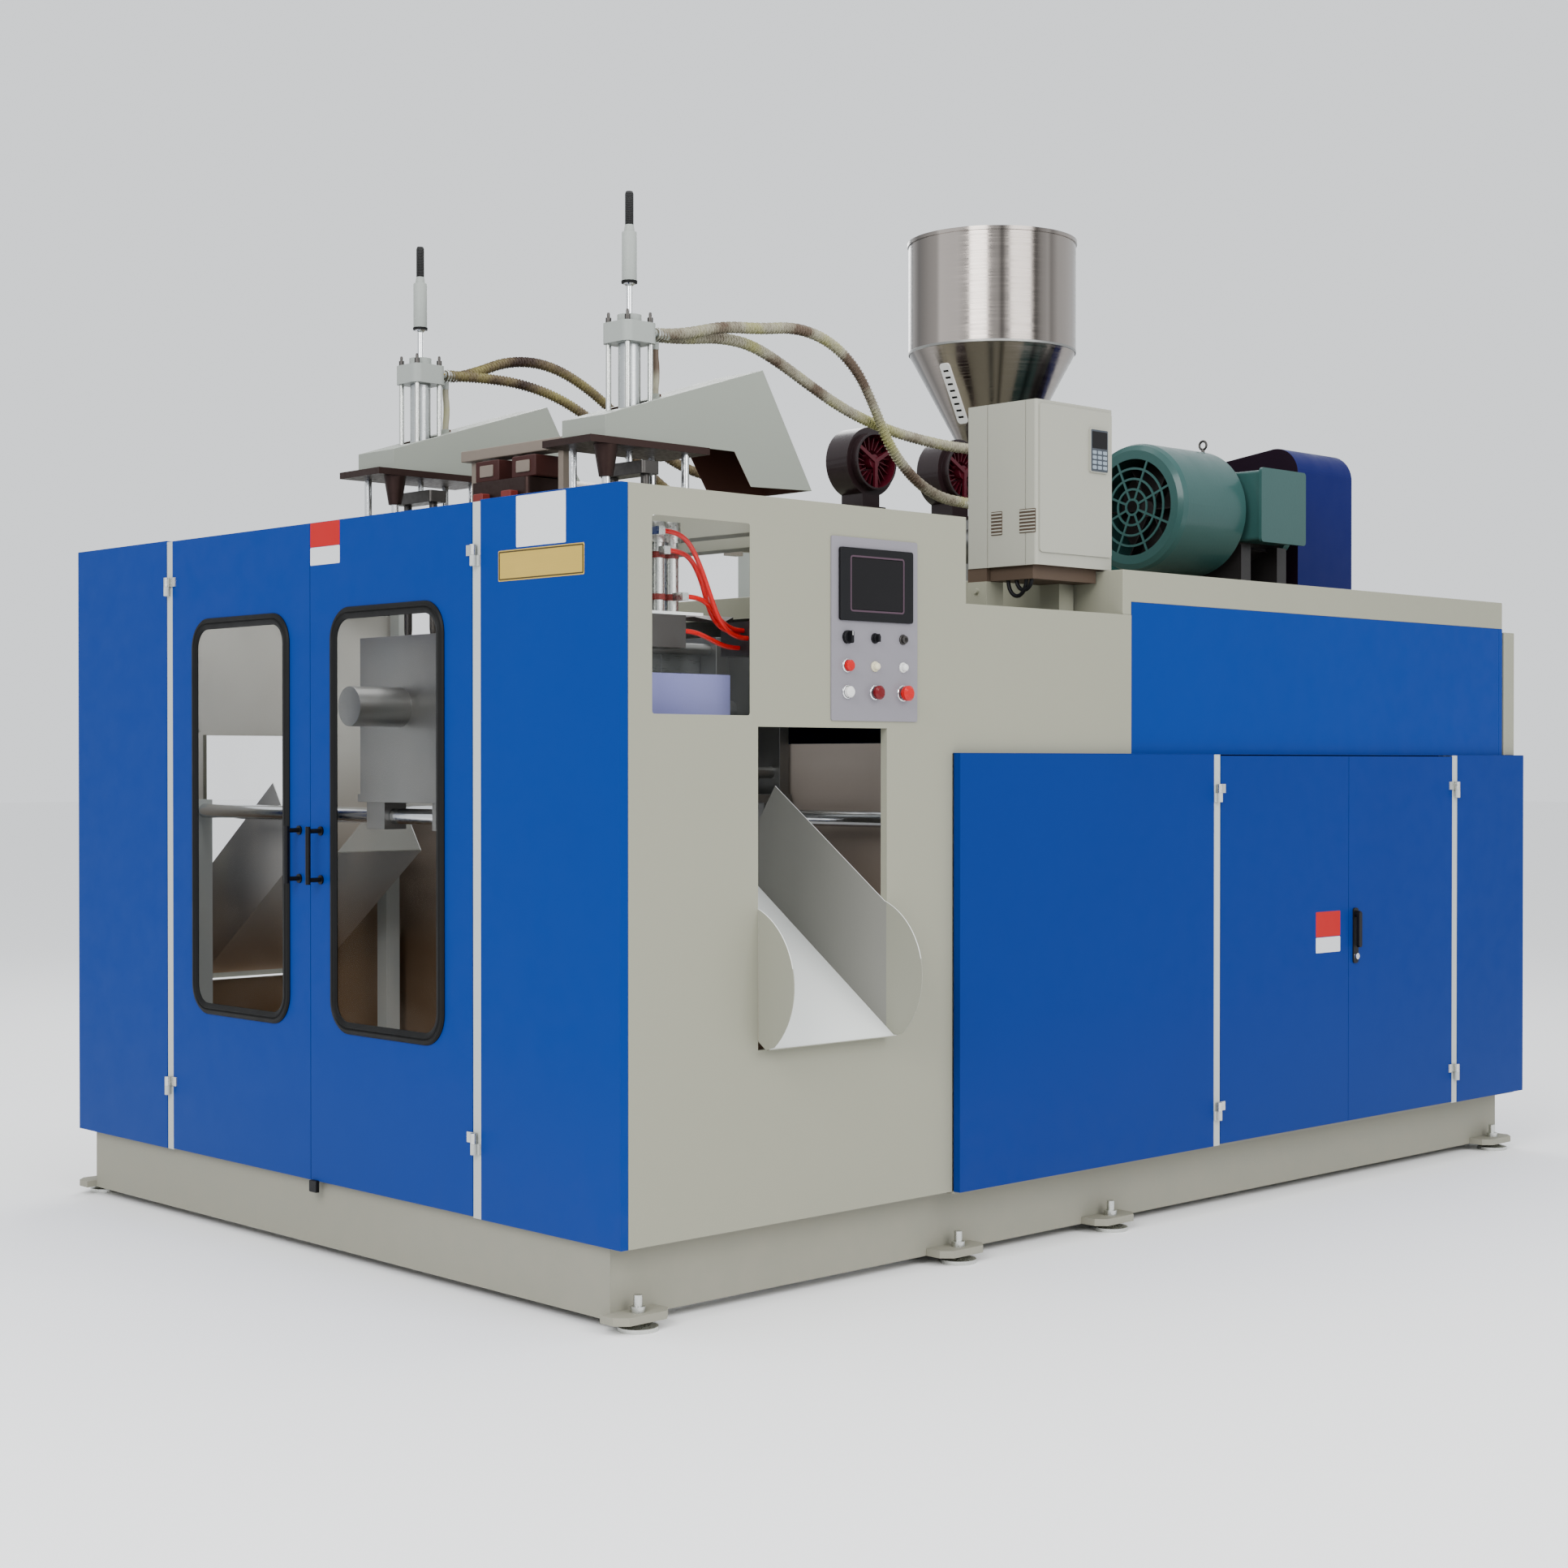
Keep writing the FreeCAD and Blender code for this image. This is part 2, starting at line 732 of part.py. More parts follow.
# ---------------------------------------------------------------- doors
def frontDoor():
    """Right-hand door: folded sheet with a window hole and its hinge halves."""
    x0 = seam * 0.75
    x1 = hingeX - postWidth / 2 - seam
    door = tray("y", 0, 1, x0, x1, panelBottom + 4, frontTop - 4, panelDepth)
    hole = roundedSlab(
        "y", -1, sheet + 1, doorWindowNear, doorWindowFar, doorWindowBottom, doorWindowTop, doorWindowRadius
    )
    uppers = [hingeUpper(hingeX, 0, z, (0, -1, 0), (-1, 0, 0)) for z in frontHingeHeights]
    return fuse(door.cut(hole), *uppers)


def doorGlazing():
    """The clear pane and the rubber strip that holds it in the door sheet."""
    a0, a1, b0, b1 = doorWindowNear, doorWindowFar, doorWindowBottom, doorWindowTop

    def ring(grow, low, high):
        r = doorWindowRadius + grow
        return roundedSlab("y", low, high, a0 - grow, a1 + grow, b0 - grow, b1 + grow, r)

    front = ring(sealLip, -4, 0)
    core = ring(0, 0, paneThick)
    middle = ring(sealLip, sheet, paneThick)
    back = ring(sealLip, paneThick, paneThick + 4)
    pane = ring(-sealCore, 0, paneThick)
    sight = ring(-sealLip, -4, paneThick + 4)
    rubber = fuse(front, core, middle, back).cut(pane).cut(sight)
    return pane, rubber


def doorHandle():
    """A straight grip on two stand-offs with round feet."""
    grip = rod((handleX, -handleStand, handleLow), (0, 0, 1), handleHigh - handleLow, handleRadius)
    parts = [grip]
    for z in (handleLow + 14, handleHigh - 14):
        parts.append(rod((handleX, 0, z), (0, -1, 0), handleStand, handleRadius - 1))
        parts.append(rod((handleX, 0, z), (0, -1, 0), 5, handleRadius + 6))
    return fuse(*parts)


def doors():
    door = frontDoor()
    pane, rubber = doorGlazing()
    handle = doorHandle()
    save("right_door", door)
    save("right_door_window", pane, rubber)
    save("right_door_handle", handle)
    save("left_door", mirrored(door))
    save("left_door_window", mirrored(pane), mirrored(rubber))
    save("left_door_handle", mirrored(handle))


def cabinetDoors():
    """The two doors in the right side of the drive cabinet, and the lever of their lock."""
    face = halfWidth + lowerProud
    half = postWidth / 2
    z0 = panelBottom + 4
    z1 = lowerTop - 4
    front = tray("x", face, -1, cabinetHingeFront + half + seam, cabinetSeam - 1, z0, z1)
    uppers = [hingeUpper(face, cabinetHingeFront, z, (1, 0, 0), (0, 1, 0)) for z in cabinetHingeHeights]
    save("cabinet_door_front", fuse(front, *uppers))
    rear = tray("x", face, -1, cabinetSeam + 1, cabinetHingeRear - half - seam, z0, z1)
    uppers = [hingeUpper(face, cabinetHingeRear, z, (1, 0, 0), (0, -1, 0)) for z in cabinetHingeHeights]
    plate = roundedSlab("x", face, face + 5, leverY - 16, leverY + 16, leverZ - 175, leverZ + 22, 10)
    keyBoss = rod((face + 5, leverY, leverZ - 150), (1, 0, 0), 8, 11)
    spindleHole = rod((face - sheet - 1, leverY, leverZ), (1, 0, 0), 20, 7 + stemClearance)
    save("cabinet_door_rear", fuse(rear, *uppers, plate, keyBoss).cut(spindleHole))
    spindle = rod((face - 18, leverY, leverZ), (1, 0, 0), 34, 7)
    hub = rod((face + 5.3, leverY, leverZ), (1, 0, 0), 14, 12)
    grip = roundedSlab("x", face + 12, face + 24, leverY - 10, leverY + 10, leverZ - leverLength, leverZ + 10, 9)
    save("cabinet_lever", fuse(spindle, hub, grip))


# ---------------------------------------------------------------- controls
def controlStation():
    """The control plate, its screen, lamps, and the knobs and buttons that move."""
    x = halfWidth
    y0, y1, z0, z1 = controlPlate
    plate = roundedSlab("x", x, x + plateThick, y0, y1, z0, z1, 6)
    s0, s1, t0, t1 = screenFrame
    plate = plate.cut(box(x - 1, x + plateThick + 1, s0 + 12, s1 - 12, t0 + 12, t1 - 12))
    face = x + plateThick
    moving = [(0, 0), (0, 1), (0, 2), (1, 2), (2, 2)]
    holes = []
    for i, row in moving:
        centre = (x - 1, controlColumns[i], controlRows[row])
        holes.append(rod(centre, (1, 0, 0), plateThick + 2, buttonStem + stemClearance))
    save("control_plate", plate.cut(Part.makeCompound(holes)))
    bezel = roundedSlab("x", face, face + screenThick, s0, s1, t0, t1, 8)
    body = box(x - 40, face, s0 + 13, s1 - 13, t0 + 13, t1 - 13)
    p0, p1, q0, q1 = screenPane
    pocket = box(face + screenThick - 3, face + screenThick, p0, p1, q0, q1)
    save("touch_screen", fuse(bezel, body).cut(pocket))
    fixed = []
    for i, row in ((1, 0), (2, 0), (1, 1), (2, 1)):
        profile = [(0, 0), (15, 0), (15, 5), (11, 7), (11, 16), (0, 18)]
        fixed.append(turned(profile, (face, controlColumns[i], controlRows[row]), (1, 0, 0)))
    save("panel_lamps", *fixed)
    moveGap = buttonTravel + 0.5
    domed = [(0, moveGap), (16, moveGap), (16, moveGap + 10), (12, moveGap + 14), (0, moveGap + 15)]
    mushroom = [(0, moveGap), (14, moveGap), (20, moveGap + 8), (20, moveGap + 16), (13, moveGap + 21), (0, moveGap + 22)]
    stop = [(0, moveGap), (16, moveGap), (22, moveGap + 9), (22, moveGap + 20), (14, moveGap + 26), (0, moveGap + 27)]
    caps = [("red_button", 0, 1, domed), ("white_button", 0, 2, domed)]
    caps += [("mushroom_button", 1, 2, mushroom), ("e_stop_button", 2, 2, stop)]
    for name, i, row, profile in caps:
        centre = (face, controlColumns[i], controlRows[row])
        stem = rod((x - 14, centre[1], centre[2]), (1, 0, 0), 14 + plateThick + moveGap, buttonStem)
        save(name, fuse(turned(profile, centre, (1, 0, 0)), stem))
    y, z = controlColumns[0], controlRows[0]
    stem = rod((x - 14, y, z), (1, 0, 0), 14 + plateThick + 0.5, buttonStem)
    knob = turned([(0, 0.5), (19, 0.5), (19, 9), (16, 12), (0, 12)], (face, y, z), (1, 0, 0))
    grip = roundedSlab("x", face + 10, face + 24, y - 5, y + 5, z - 18, z + 18, 4.9)
    save("mode_selector", fuse(knob, stem, grip))


# ---------------------------------------------------------------- inverter
def inverter():
    """The motor inverter in its case, and the stand that carries it over the step roof."""
    x0, x1, y0, y1 = inverterBox
    z0, z1 = inverterBottom, inverterTop
    case = roundedSlab("z", z0, z1, x0, x1, y0, y1, 10)
    lid = roundedSlab("x", x1 - 2, x1 + 6, y0 + 12, y1 - 12, z0 + 40, z1 - 12, 12)
    keypad = roundedSlab("x", x1 + 6, x1 + 14, y1 - 130, y1 - 40, z1 - 210, z1 - 70, 6)
    grooveA = box(x0 + 85, x0 + 91, y0 - 1, y0 + 3, z0, z1)
    grooveB = box(x1 - 46, x1 - 41, y0 - 1, y0 + 3, z0, z1)
    save("inverter_case", fuse(case, lid, keypad).cut(grooveA).cut(grooveB))
    gland = box(x0 + 82, x1 - 30, y0 + 20, deckStart - 8, z0 - 42, z0)
    post = squareTube(x0, x0 + 80, y0 + 4, y0 + 84, stepTop, z0)
    rearPost = squareTube(x0 + 90, x0 + 170, deckStart - 84, deckStart - 12, stepTop, z0 - 42)
    foot = roundedSlab("z", stepTop, stepTop + 8, x0 - 20, x0 + 110, y0 - 10, y0 + 100, 8)
    foot = foot.cut(box(x0, x0 + 80, y0 + 4, y0 + 84, stepTop, stepTop + 8))
    knob = rod((x0 + 40, y0 + 4, stepTop + 75), (0, -1, 0), 12, 9)
    save("inverter_stand", fuse(post, foot, knob), fuse(gland, rearPost))


# ---------------------------------------------------------------- extruder
def hopper():
    """Round sheet hopper with a rolled rim, a cone and a flanged neck."""
    w = hopperWall
    slope = (hopperRadius - hopperNeck) / (hopperWaist - neckTop)
    step = w * math.sqrt(1 + slope**2)
    profile = [
        (hopperRadius - w, hopperTop),
        (hopperRadius + 5, hopperTop),
        (hopperRadius + 5, hopperTop - 14),
        (hopperRadius, hopperTop - 14),
        (hopperRadius, hopperWaist),
        (hopperNeck, neckTop),
        (hopperNeck, neckTop - 40),
        (hopperNeck + 32, neckTop - 40),
        (hopperNeck + 32, neckTop - 52),
        (hopperNeck - w, neckTop - 52),
        (hopperNeck - w, neckTop + step / slope * 0.2),
        (hopperRadius - w, hopperWaist + 1),
    ]
    save("hopper", turned(profile, (0, throatY, 0), (0, 0, 1)))


def barrelParts():
    """The extruder barrel with its feed throat, the heater bands and the turning screw."""
    length = gearboxFront - thrustLength - barrelFront
    shell = rod((0, barrelFront, barrelAxis), (0, 1, 0), length, barrelRadius)
    neck = box(-100, 100, throatY - 105, throatY + 105, deckTop, barrelAxis + 110)
    riser = rod((0, throatY, barrelAxis), (0, 0, 1), neckTop - 52 - barrelAxis, hopperNeck + 8)
    flange = rod((0, throatY, neckTop - 66), (0, 0, 1), 14, hopperNeck + 32)
    support = box(-70, 70, deckStart + 40, deckStart + 90, deckTop, barrelAxis)
    boreY = rod((0, barrelFront, barrelAxis), (0, 1, 0), length, screwRadius + 1)
    boreZ = rod((0, throatY, barrelAxis), (0, 0, 1), 400, hopperNeck - 20)
    save("barrel", fuse(shell, neck, riser, flange, support).cut(boreY).cut(boreZ))
    bands = []
    y = barrelFront + 60
    while y + bandLength < throatY - 110:
        clearOfFoot = y + bandLength < deckStart + 38 or y > deckStart + 92
        if clearOfFoot:
            band = tube((0, y, barrelAxis), (0, 1, 0), bandLength, bandRadius, barrelRadius + 0.3)
            bands.append(fuse(band, box(-18, 18, y + 40, y + 100, barrelAxis - bandRadius - 16, barrelAxis - 80)))
            y += bandLength + bandGap
        else:
            y = deckStart + 94
    save("heater_bands", *bands)
    screw = rod((0, barrelFront + 60, barrelAxis), (0, 1, 0), gearboxFront - barrelFront - 40, screwRoot)
    tip = Part.makeCone(6, screwRoot, 60, V(0, barrelFront, barrelAxis), V(0, 1, 0))
    flights = []
    y = barrelFront + 90
    while y < throatY + 60:
        flights.append(rod((0, y, barrelAxis), (0, 1, 0), 12, screwRadius - 0.5))
        y += screwPitch
    save("screw", fuse(screw, tip, *flights))


def barrelBlowers():
    """Cooling blowers on the barrel: a scroll housing, a guarded inlet and a duct."""
    blowers = []
    for y in blowerStations:
        half = 55.0
        scroll = rod((-half, y, blowerHeight), (1, 0, 0), 2 * half, blowerRadius)
        duct = box(-half, half, y - 45, y + 45, barrelAxis + bandRadius + 0.5, blowerHeight)
        skirt = box(-half - 16, half + 16, y - 62, y + 62, barrelAxis + bandRadius + 0.5, barrelAxis + bandRadius + 12)
        mouth = rod((half, y, blowerHeight), (1, 0, 0), 30, blowerRadius - 22)
        recess = rod((half - 30, y, blowerHeight), (1, 0, 0), 60, blowerRadius - 30)
        hub = rod((half - 30, y, blowerHeight), (1, 0, 0), 48, 26)
        spokes = []
        for k in range(3):
            spoke = box(half + 18, half + 28, y - 7, y + 7, blowerHeight, blowerHeight + blowerRadius - 26)
            spoke.rotate(V(0, y, blowerHeight), V(1, 0, 0), 120 * k + 60)
            spokes.append(spoke)
        motor = rod((-half - 70, y, blowerHeight), (1, 0, 0), 70, 52)
        blowers.append(fuse(fuse(scroll, duct, skirt, mouth).cut(recess), hub, motor, *spokes))
    save("barrel_blowers", *blowers)


def gearbox():
    """Extruder gearbox on the deck, with its output housing and input boss."""
    body = box(-200, 200, gearboxFront, gearboxBack, deckTop + 24, barrelAxis + gearboxRise)
    body = body.makeFillet(22, [e for e in body.Edges if e.BoundBox.YLength > 300])
    foot = box(-240, 240, gearboxFront - 20, gearboxBack, deckTop, deckTop + 24)
    thrust = rod((0, gearboxFront, barrelAxis), (0, -1, 0), thrustLength, 92)
    boss = rod((0, gearboxBack, inputAxis), (0, 1, 0), 26, 70)
    bore = rod((0, gearboxBack - 120, inputAxis), (0, 1, 0), 160, 25 + slideClearance)
    output = rod((0, gearboxFront - thrustLength, barrelAxis), (0, 1, 0), 100, screwRoot + slideClearance)
    save("gearbox", fuse(body, foot, thrust, boss).cut(bore).cut(output))


def dieHead():
    """The double die head at the front of the barrel, hung over the mould path."""
    block = box(-150, 150, moldY - 85, moldY + 85, headSkirt, barrelAxis + 75)
    block = block.makeFillet(14, [e for e in block.Edges if e.BoundBox.ZLength > 100])
    adapter = rod((0, moldY + 85, barrelAxis), (0, 1, 0), barrelFront - moldY - 85, 85)
    heads = []
    for side in (-1, 1):
        profile = [(0, 0), (24, 0), (38, 40), (62, 60), (62, headSkirt - headBottom), (0, headSkirt - headBottom)]
        heads.append(turned(profile, (side * cavityPitch / 2, moldY, headBottom), (0, 0, 1)))
        stack = rod((side * cavityPitch / 2, moldY, barrelAxis + 75), (0, 0, 1), 55, 40)
        heads.append(stack)
    save("die_head", fuse(block, adapter, *heads))


# ---------------------------------------------------------------- drive
def motor():
    """The main motor: finned body, long fan cowl with a round grille, terminal box and rails."""
    x, z = motorX, motorAxis
    core = rod((x, cowlEnd, z), (0, 1, 0), motorEnd - cowlEnd, motorRadius - finHeight)
    shields = [
        rod((x, cowlEnd, z), (0, 1, 0), 34, motorRadius),
        rod((x, motorEnd - 34, z), (0, 1, 0), 34, motorRadius),
    ]
    fins = []
    for k in range(finCount):
        angle = 360.0 * (k + 0.5) / finCount
        if 60 < angle < 120 or 235 < angle < 305 or 335 < angle or angle < 25:
            continue
        fin = box(x + motorRadius - finHeight - 4, x + motorRadius, cowlEnd + 34, motorEnd - 34, z - 2.5, z + 2.5)
        fin.rotate(V(x, 0, z), V(0, -1, 0), angle)
        fins.append(fin)
    feet = [
        box(x - 178, x + 178, cowlEnd + 50, cowlEnd + 110, deckTop + 60, z - 120),
        box(x - 178, x + 178, motorEnd - 110, motorEnd - 50, deckTop + 60, z - 120),
    ]
    eye = Part.makeTorus(17, 5, V(x, cowlEnd + 60, z + motorRadius + 20), V(0, 1, 0))
    eyeStem = rod((x, cowlEnd + 60, z + motorRadius - finHeight - 4), (0, 0, 1), 24, 9)
    body = fuse(core, *shields, *fins, *feet, eyeStem, eye)
    shaftBore = rod((x, cowlEnd, z), (0, 1, 0), motorEnd - cowlEnd, shaftRadius + slideClearance)
    save("motor_body", body.cut(shaftBore))
    cowlWall = 4.0
    opening = cowlRadius - 58
    profile = [
        (opening, 0),
        (cowlRadius - 26, 0),
        (cowlRadius - 7, 10),
        (cowlRadius, 30),
        (cowlRadius, cowlEnd - cowlFront),
        (motorRadius, cowlEnd - cowlFront),
        (motorRadius, cowlEnd - cowlFront - cowlWall),
        (cowlRadius - cowlWall, cowlEnd - cowlFront - cowlWall),
        (cowlRadius - cowlWall, 30),
        (cowlRadius - 9, 13),
        (cowlRadius - 27, cowlWall),
        (opening, cowlWall),
    ]
    cowl = turned(profile, (x, cowlFront, z), (0, 1, 0))
    rings = []
    for radius in (28, 66, 104, 142):
        rings.append(tube((x, cowlFront, z), (0, 1, 0), cowlWall, radius + 4, radius - 4))
    bars = []
    for k in range(8):
        bar = box(x + 24, x + opening + 2, cowlFront, cowlFront + cowlWall, z - 4, z + 4)
        bar.rotate(V(x, 0, z), V(0, 1, 0), 45 * k + 22.5)
        bars.append(bar)
    save("motor_cowl", fuse(cowl, *rings, *bars))
    boxFront = cowlEnd + 40
    terminal = box(x + 150, x + 270, boxFront, boxFront + 270, z - 110, z + 150)
    terminal = terminal.makeFillet(12, [e for e in terminal.Edges if e.BoundBox.XLength > 50])
    lid = roundedSlab("x", x + 270, x + 282, boxFront - 8, boxFront + 278, z - 118, z + 158, 14)
    saddle = rod((x, boxFront - 10, z), (0, 1, 0), 290, motorRadius)
    save("terminal_box", fuse(terminal.cut(saddle).cut(body), lid))
    rails = []
    for side in (-1, 1):
        rails.append(box(x + side * 150 - 28, x + side * 150 + 28, cowlEnd + 10, motorEnd - 10, deckTop, deckTop + 60))
    save("motor_rails", *rails)


def pulley(x, z, y0, radius, bore):
    """A V-belt pulley: one groove for each belt."""
    width = beltCount * beltPitch
    profile = [(bore, 0)]
    for k in range(beltCount):
        y = k * beltPitch
        profile += [(radius + 6, y), (radius + 6, y + 4), (radius - 12, y + 6), (radius - 12, y + 18)]
        profile += [(radius + 6, y + 20)]
    profile += [(radius + 6, width), (bore, width)]
    return turned(profile, (x, y0, z), (0, 1, 0))


def drive():
    """Motor shaft with its pulley and fan, the gearbox input with its pulley, belts and guard."""
    beltFront = guardFront + 90
    shaftEnd = beltFront + beltCount * beltPitch + 4
    shaft = rod((motorX, cowlFront + 90, motorAxis), (0, 1, 0), shaftEnd - cowlFront - 90, shaftRadius)
    fanY = cowlFront + 110
    blades = []
    for k in range(6):
        blade = box(motorX + 25, motorX + cowlRadius - 45, fanY, fanY + 60, motorAxis - 3, motorAxis + 3)
        blade.rotate(V(motorX, 0, motorAxis), V(0, 1, 0), 60 * k)
        blades.append(blade)
    disc = rod((motorX, fanY + 50, motorAxis), (0, 1, 0), 8, cowlRadius - 60)
    wheel = pulley(motorX, motorAxis, beltFront, motorPulley, shaftRadius - 5)
    save("motor_shaft", fuse(shaft, disc, wheel, *blades))
    inputShaft = rod((0, gearboxBack - 118, inputAxis), (0, 1, 0), shaftEnd - gearboxBack + 118, 25)
    save("input_pulley", fuse(inputShaft, pulley(0, inputAxis, beltFront, inputPulley, 20)))
    belts = []
    for k in range(beltCount):
        y = beltFront + k * beltPitch + 6.5
        belts.append(beltLoop(y, 11.0))
    save("drive_belts", *belts)
    guard()


def beltLoop(y, width):
    """One belt round both pulleys, just clear of the bottom of its groove."""
    inside = beltOutline(y, width, motorPulley - 11.5, inputPulley - 11.5)
    outside = beltOutline(y, width, motorPulley - 1.5, inputPulley - 1.5)
    return outside.cut(inside)


def beltOutline(y, width, small, large):
    """The open-belt outline round two circles, as a slab."""
    dx = motorX
    dz = motorAxis - inputAxis
    distance = math.hypot(dx, dz)
    along = math.atan2(dz, dx)
    lean = math.acos((large - small) / distance)
    points = []
    for cx, cz, r in ((0, inputAxis, large), (motorX, motorAxis, small)):
        for sign in (1, -1):
            angle = along + sign * lean
            points.append(V(cx + r * math.cos(angle), y, cz + r * math.sin(angle)))
    upLarge, downLarge, upSmall, downSmall = points
    farSmall = V(motorX + small * math.cos(along), y, motorAxis + small * math.sin(along))
    farLarge = V(-large * math.cos(along), y, inputAxis - large * math.sin(along))
    edges = [
        Part.LineSegment(upLarge, upSmall).toShape(),
        Part.Arc(upSmall, farSmall, downSmall).toShape(),
        Part.LineSegment(downSmall, downLarge).toShape(),
        Part.Arc(downLarge, farLarge, upLarge).toShape(),
    ]
    return slab("y", y, y + width, edges)


def guardBody(y0, y1, inset):
    """Guard form: straight sides on the deck, a top that slopes down to the gearbox, round shoulders."""
    left = -inputPulley - guardRoom + inset
    right = motorX + guardReach - inset
    corners = [
        (left, deckTop),
        (right, deckTop),
        (right, motorAxis + guardRise - inset),
        (left, inputAxis + inputPulley + guardRoom - inset),
    ]
    body = polygonSlab("y", y0, y1, corners)
    tops = [e for e in body.Edges if e.BoundBox.YLength > 100 and e.BoundBox.ZMin > deckTop + 10]
    return body.makeFillet(guardShoulder - inset, tops)


def guard():
    """Sheet guard over both pulleys, with clearance holes for the two shafts."""
    outer = guardBody(guardFront, guardBack, 0.0)
    inner = guardBody(guardFront + guardWall, guardBack - guardWall, guardWall)
    shaftHole = rod((motorX, guardFront - 1, motorAxis), (0, 1, 0), guardWall + 2, shaftRadius + 12)
    inputHole = rod((0, guardFront - 1, inputAxis), (0, 1, 0), guardWall + 2, 37)
    save("belt_guard", outer.cut(inner).cut(shaftHole).cut(inputHole))


# ---------------------------------------------------------------- blow stations
def blowStations():
    """Plates, posts, hoods and cylinders over each mould station, and the moving blow rods."""
    frames = []
    hoods = []
    cylinders = []
    for side in (-1, 1):
        x = side * stationX
        frames.append(blowFrame(x))
        hoods.append(blowHood(x))
        cylinders.append(blowCylinder(x))
    save("blow_frames", *frames)
    save("blow_hoods", *hoods)
    save("blow_cylinders", *cylinders)
    save("left_blow_rod", blowRod(-stationX))
    save("right_blow_rod", blowRod(stationX))


def blowFrame(x):
    """Lower guide plate, four posts and the upper plate that carries the cylinder."""
    reachY = blowPostY + 50
    lower = box(x - 125, x + 125, moldY - reachY, moldY + reachY, lowerPlateZ, lowerPlateZ + 20)
    upper = box(x - 118, x + 118, moldY - reachY - 40, moldY + reachY + 20, upperPlateZ, upperPlateZ + 22)
    posts = []
    for sx in (-1, 1):
        for sy in (-1, 1):
            base = (x + sx * blowPostX, moldY + sy * blowPostY, lowerPlateZ + 20)
            posts.append(rod(base, (0, 0, 1), upperPlateZ - lowerPlateZ - 20, blowPostRadius))
    collar = Part.makeCone(22, 38, 96, V(x + blowPostX, moldY - blowPostY, upperPlateZ - 96), V(0, 0, 1))
    pedestal = tube((x, moldY, upperPlateZ + 22), (0, 0, 1), cylinderBase - upperPlateZ - 22, 42, 24)
    body = fuse(lower, upper, collar, pedestal, *posts)
    for sx in (-1, 1):
        guide = rod((x + sx * cavityPitch / 2, moldY, lowerPlateZ - 1), (0, 0, 1), 22, pinRadius + slideClearance)
        body = body.cut(guide)
    return body.cut(rod((x, moldY, upperPlateZ - 1), (0, 0, 1), 30, rodRadius + 2))


def blowHood(x):
    """Sheet hood over the station: two side cheeks, a sloping top and back."""
    outer = polygonSlab("x", x - hoodHalf, x + hoodHalf, hoodProfile)
    t = sheet + 1
    inner = [
        (617 + t, 2488 - 1),
        (617 + t, 2555 - t),
        (1270 - 2, 2760 - t - 2),
        (1490 - 6, 2390 - 10),
        (1217 - 3, 2382 - 10),
        (1146 - 2, 2488 - 1),
    ]
    hood = outer.cut(polygonSlab("x", x - hoodHalf + t, x + hoodHalf - t, inner))
    opening = rod((x, moldY, 2500), (0, 0, 1), 200, 74)
    y = moldY + dropReach
    gland = tube((x, y, hoodGlandTop - 28), (0, 0, 1), 28, 19, 8)
    hole = rod((x, y, hoodGlandTop - 96), (0, 0, 1), 120, 18)
    return fuse(hood.cut(opening).cut(hole), gland)


def blowCylinder(x):
    """Air cylinder: foot flange, tube, four tie rods and a square cap with hose nipples."""
    y = moldY
    foot = roundedSlab("z", cylinderBase, cylinderBase + 30, x - capHalf, x + capHalf, y - capHalf, y + capHalf, 14)
    cap = roundedSlab("z", cylinderTop, cylinderTop + capHeight - 26, x - capHalf, x + capHalf, y - capHalf, y + capHalf, 26)
    neck = rod((x, y, cylinderTop + capHeight - 26), (0, 0, 1), 26, 38)
    barrel = rod((x, y, cylinderBase + 30), (0, 0, 1), cylinderTop - cylinderBase - 30, cylinderRadius)
    parts = [foot, cap, neck, barrel]
    for sx in (-1, 1):
        for sy in (-1, 1):
            base = (x + sx * 46, y + sy * 46, cylinderBase + 30)
            parts.append(rod(base, (0, 0, 1), cylinderTop - cylinderBase - 30, 6))
            top = (x + sx * 46, y + sy * 46, cylinderTop + capHeight - 26)
            parts.append(rod(top, (0, 0, 1), 18, 9))
    for sx in (-1, 1):
        parts.append(rod((x + sx * 20, y + capHalf, nippleZ), (0, 1, 0), nippleLength, 12))
    elbow = rod((x, y + capHalf, dropTop + 18), (0, 1, 0), dropReach - capHalf, 9)
    drop = rod((x, y + dropReach, dropTop + 24), (0, 0, -1), 24, 12)
    body = fuse(*parts, elbow, drop)
    bore = rod((x, y, cylinderBase - 1), (0, 0, 1), cylinderTop + capHeight - cylinderBase + 2, rodRadius + slideClearance)
    return body.cut(bore)


def blowRod(x):
    """Rod with its stroke sleeve and threaded end, the crosshead and two blow pins."""
    y = moldY
    sleeveLow = cylinderTop + capHeight + blowStroke + 10
    profile = [
        (0, crossheadZ + 10),
        (rodRadius, crossheadZ + 10),
        (rodRadius, sleeveLow),
        (16, sleeveLow + 4),
        (20, sleeveLow + 12),
        (20, sleeveLow + 165),
        (14, sleeveLow + 172),
        (9, sleeveLow + 176),
        (9, sleeveLow + 290),
        (0, sleeveLow + 294),
    ]
    rodSolid = turned(profile, (x, y, 0), (0, 0, 1))
    half = cavityPitch / 2
    bar = roundedSlab("z", crossheadZ, crossheadZ + crossheadThick, x - half - 30, x + half + 30, y - 35, y + 35, 12)
    pins = []
    for sx in (-1, 1):
        pin = [
            (0, pinTip),
            (6, pinTip),
            (9, pinTip + 26),
            (pinRadius, pinShoulder),
            (pinRadius, crossheadZ + 4),
            (0, crossheadZ + 4),
        ]
        pins.append(turned(pin, (x + sx * half, y, 0), (0, 0, 1)))
    return fuse(rodSolid, bar, *pins)


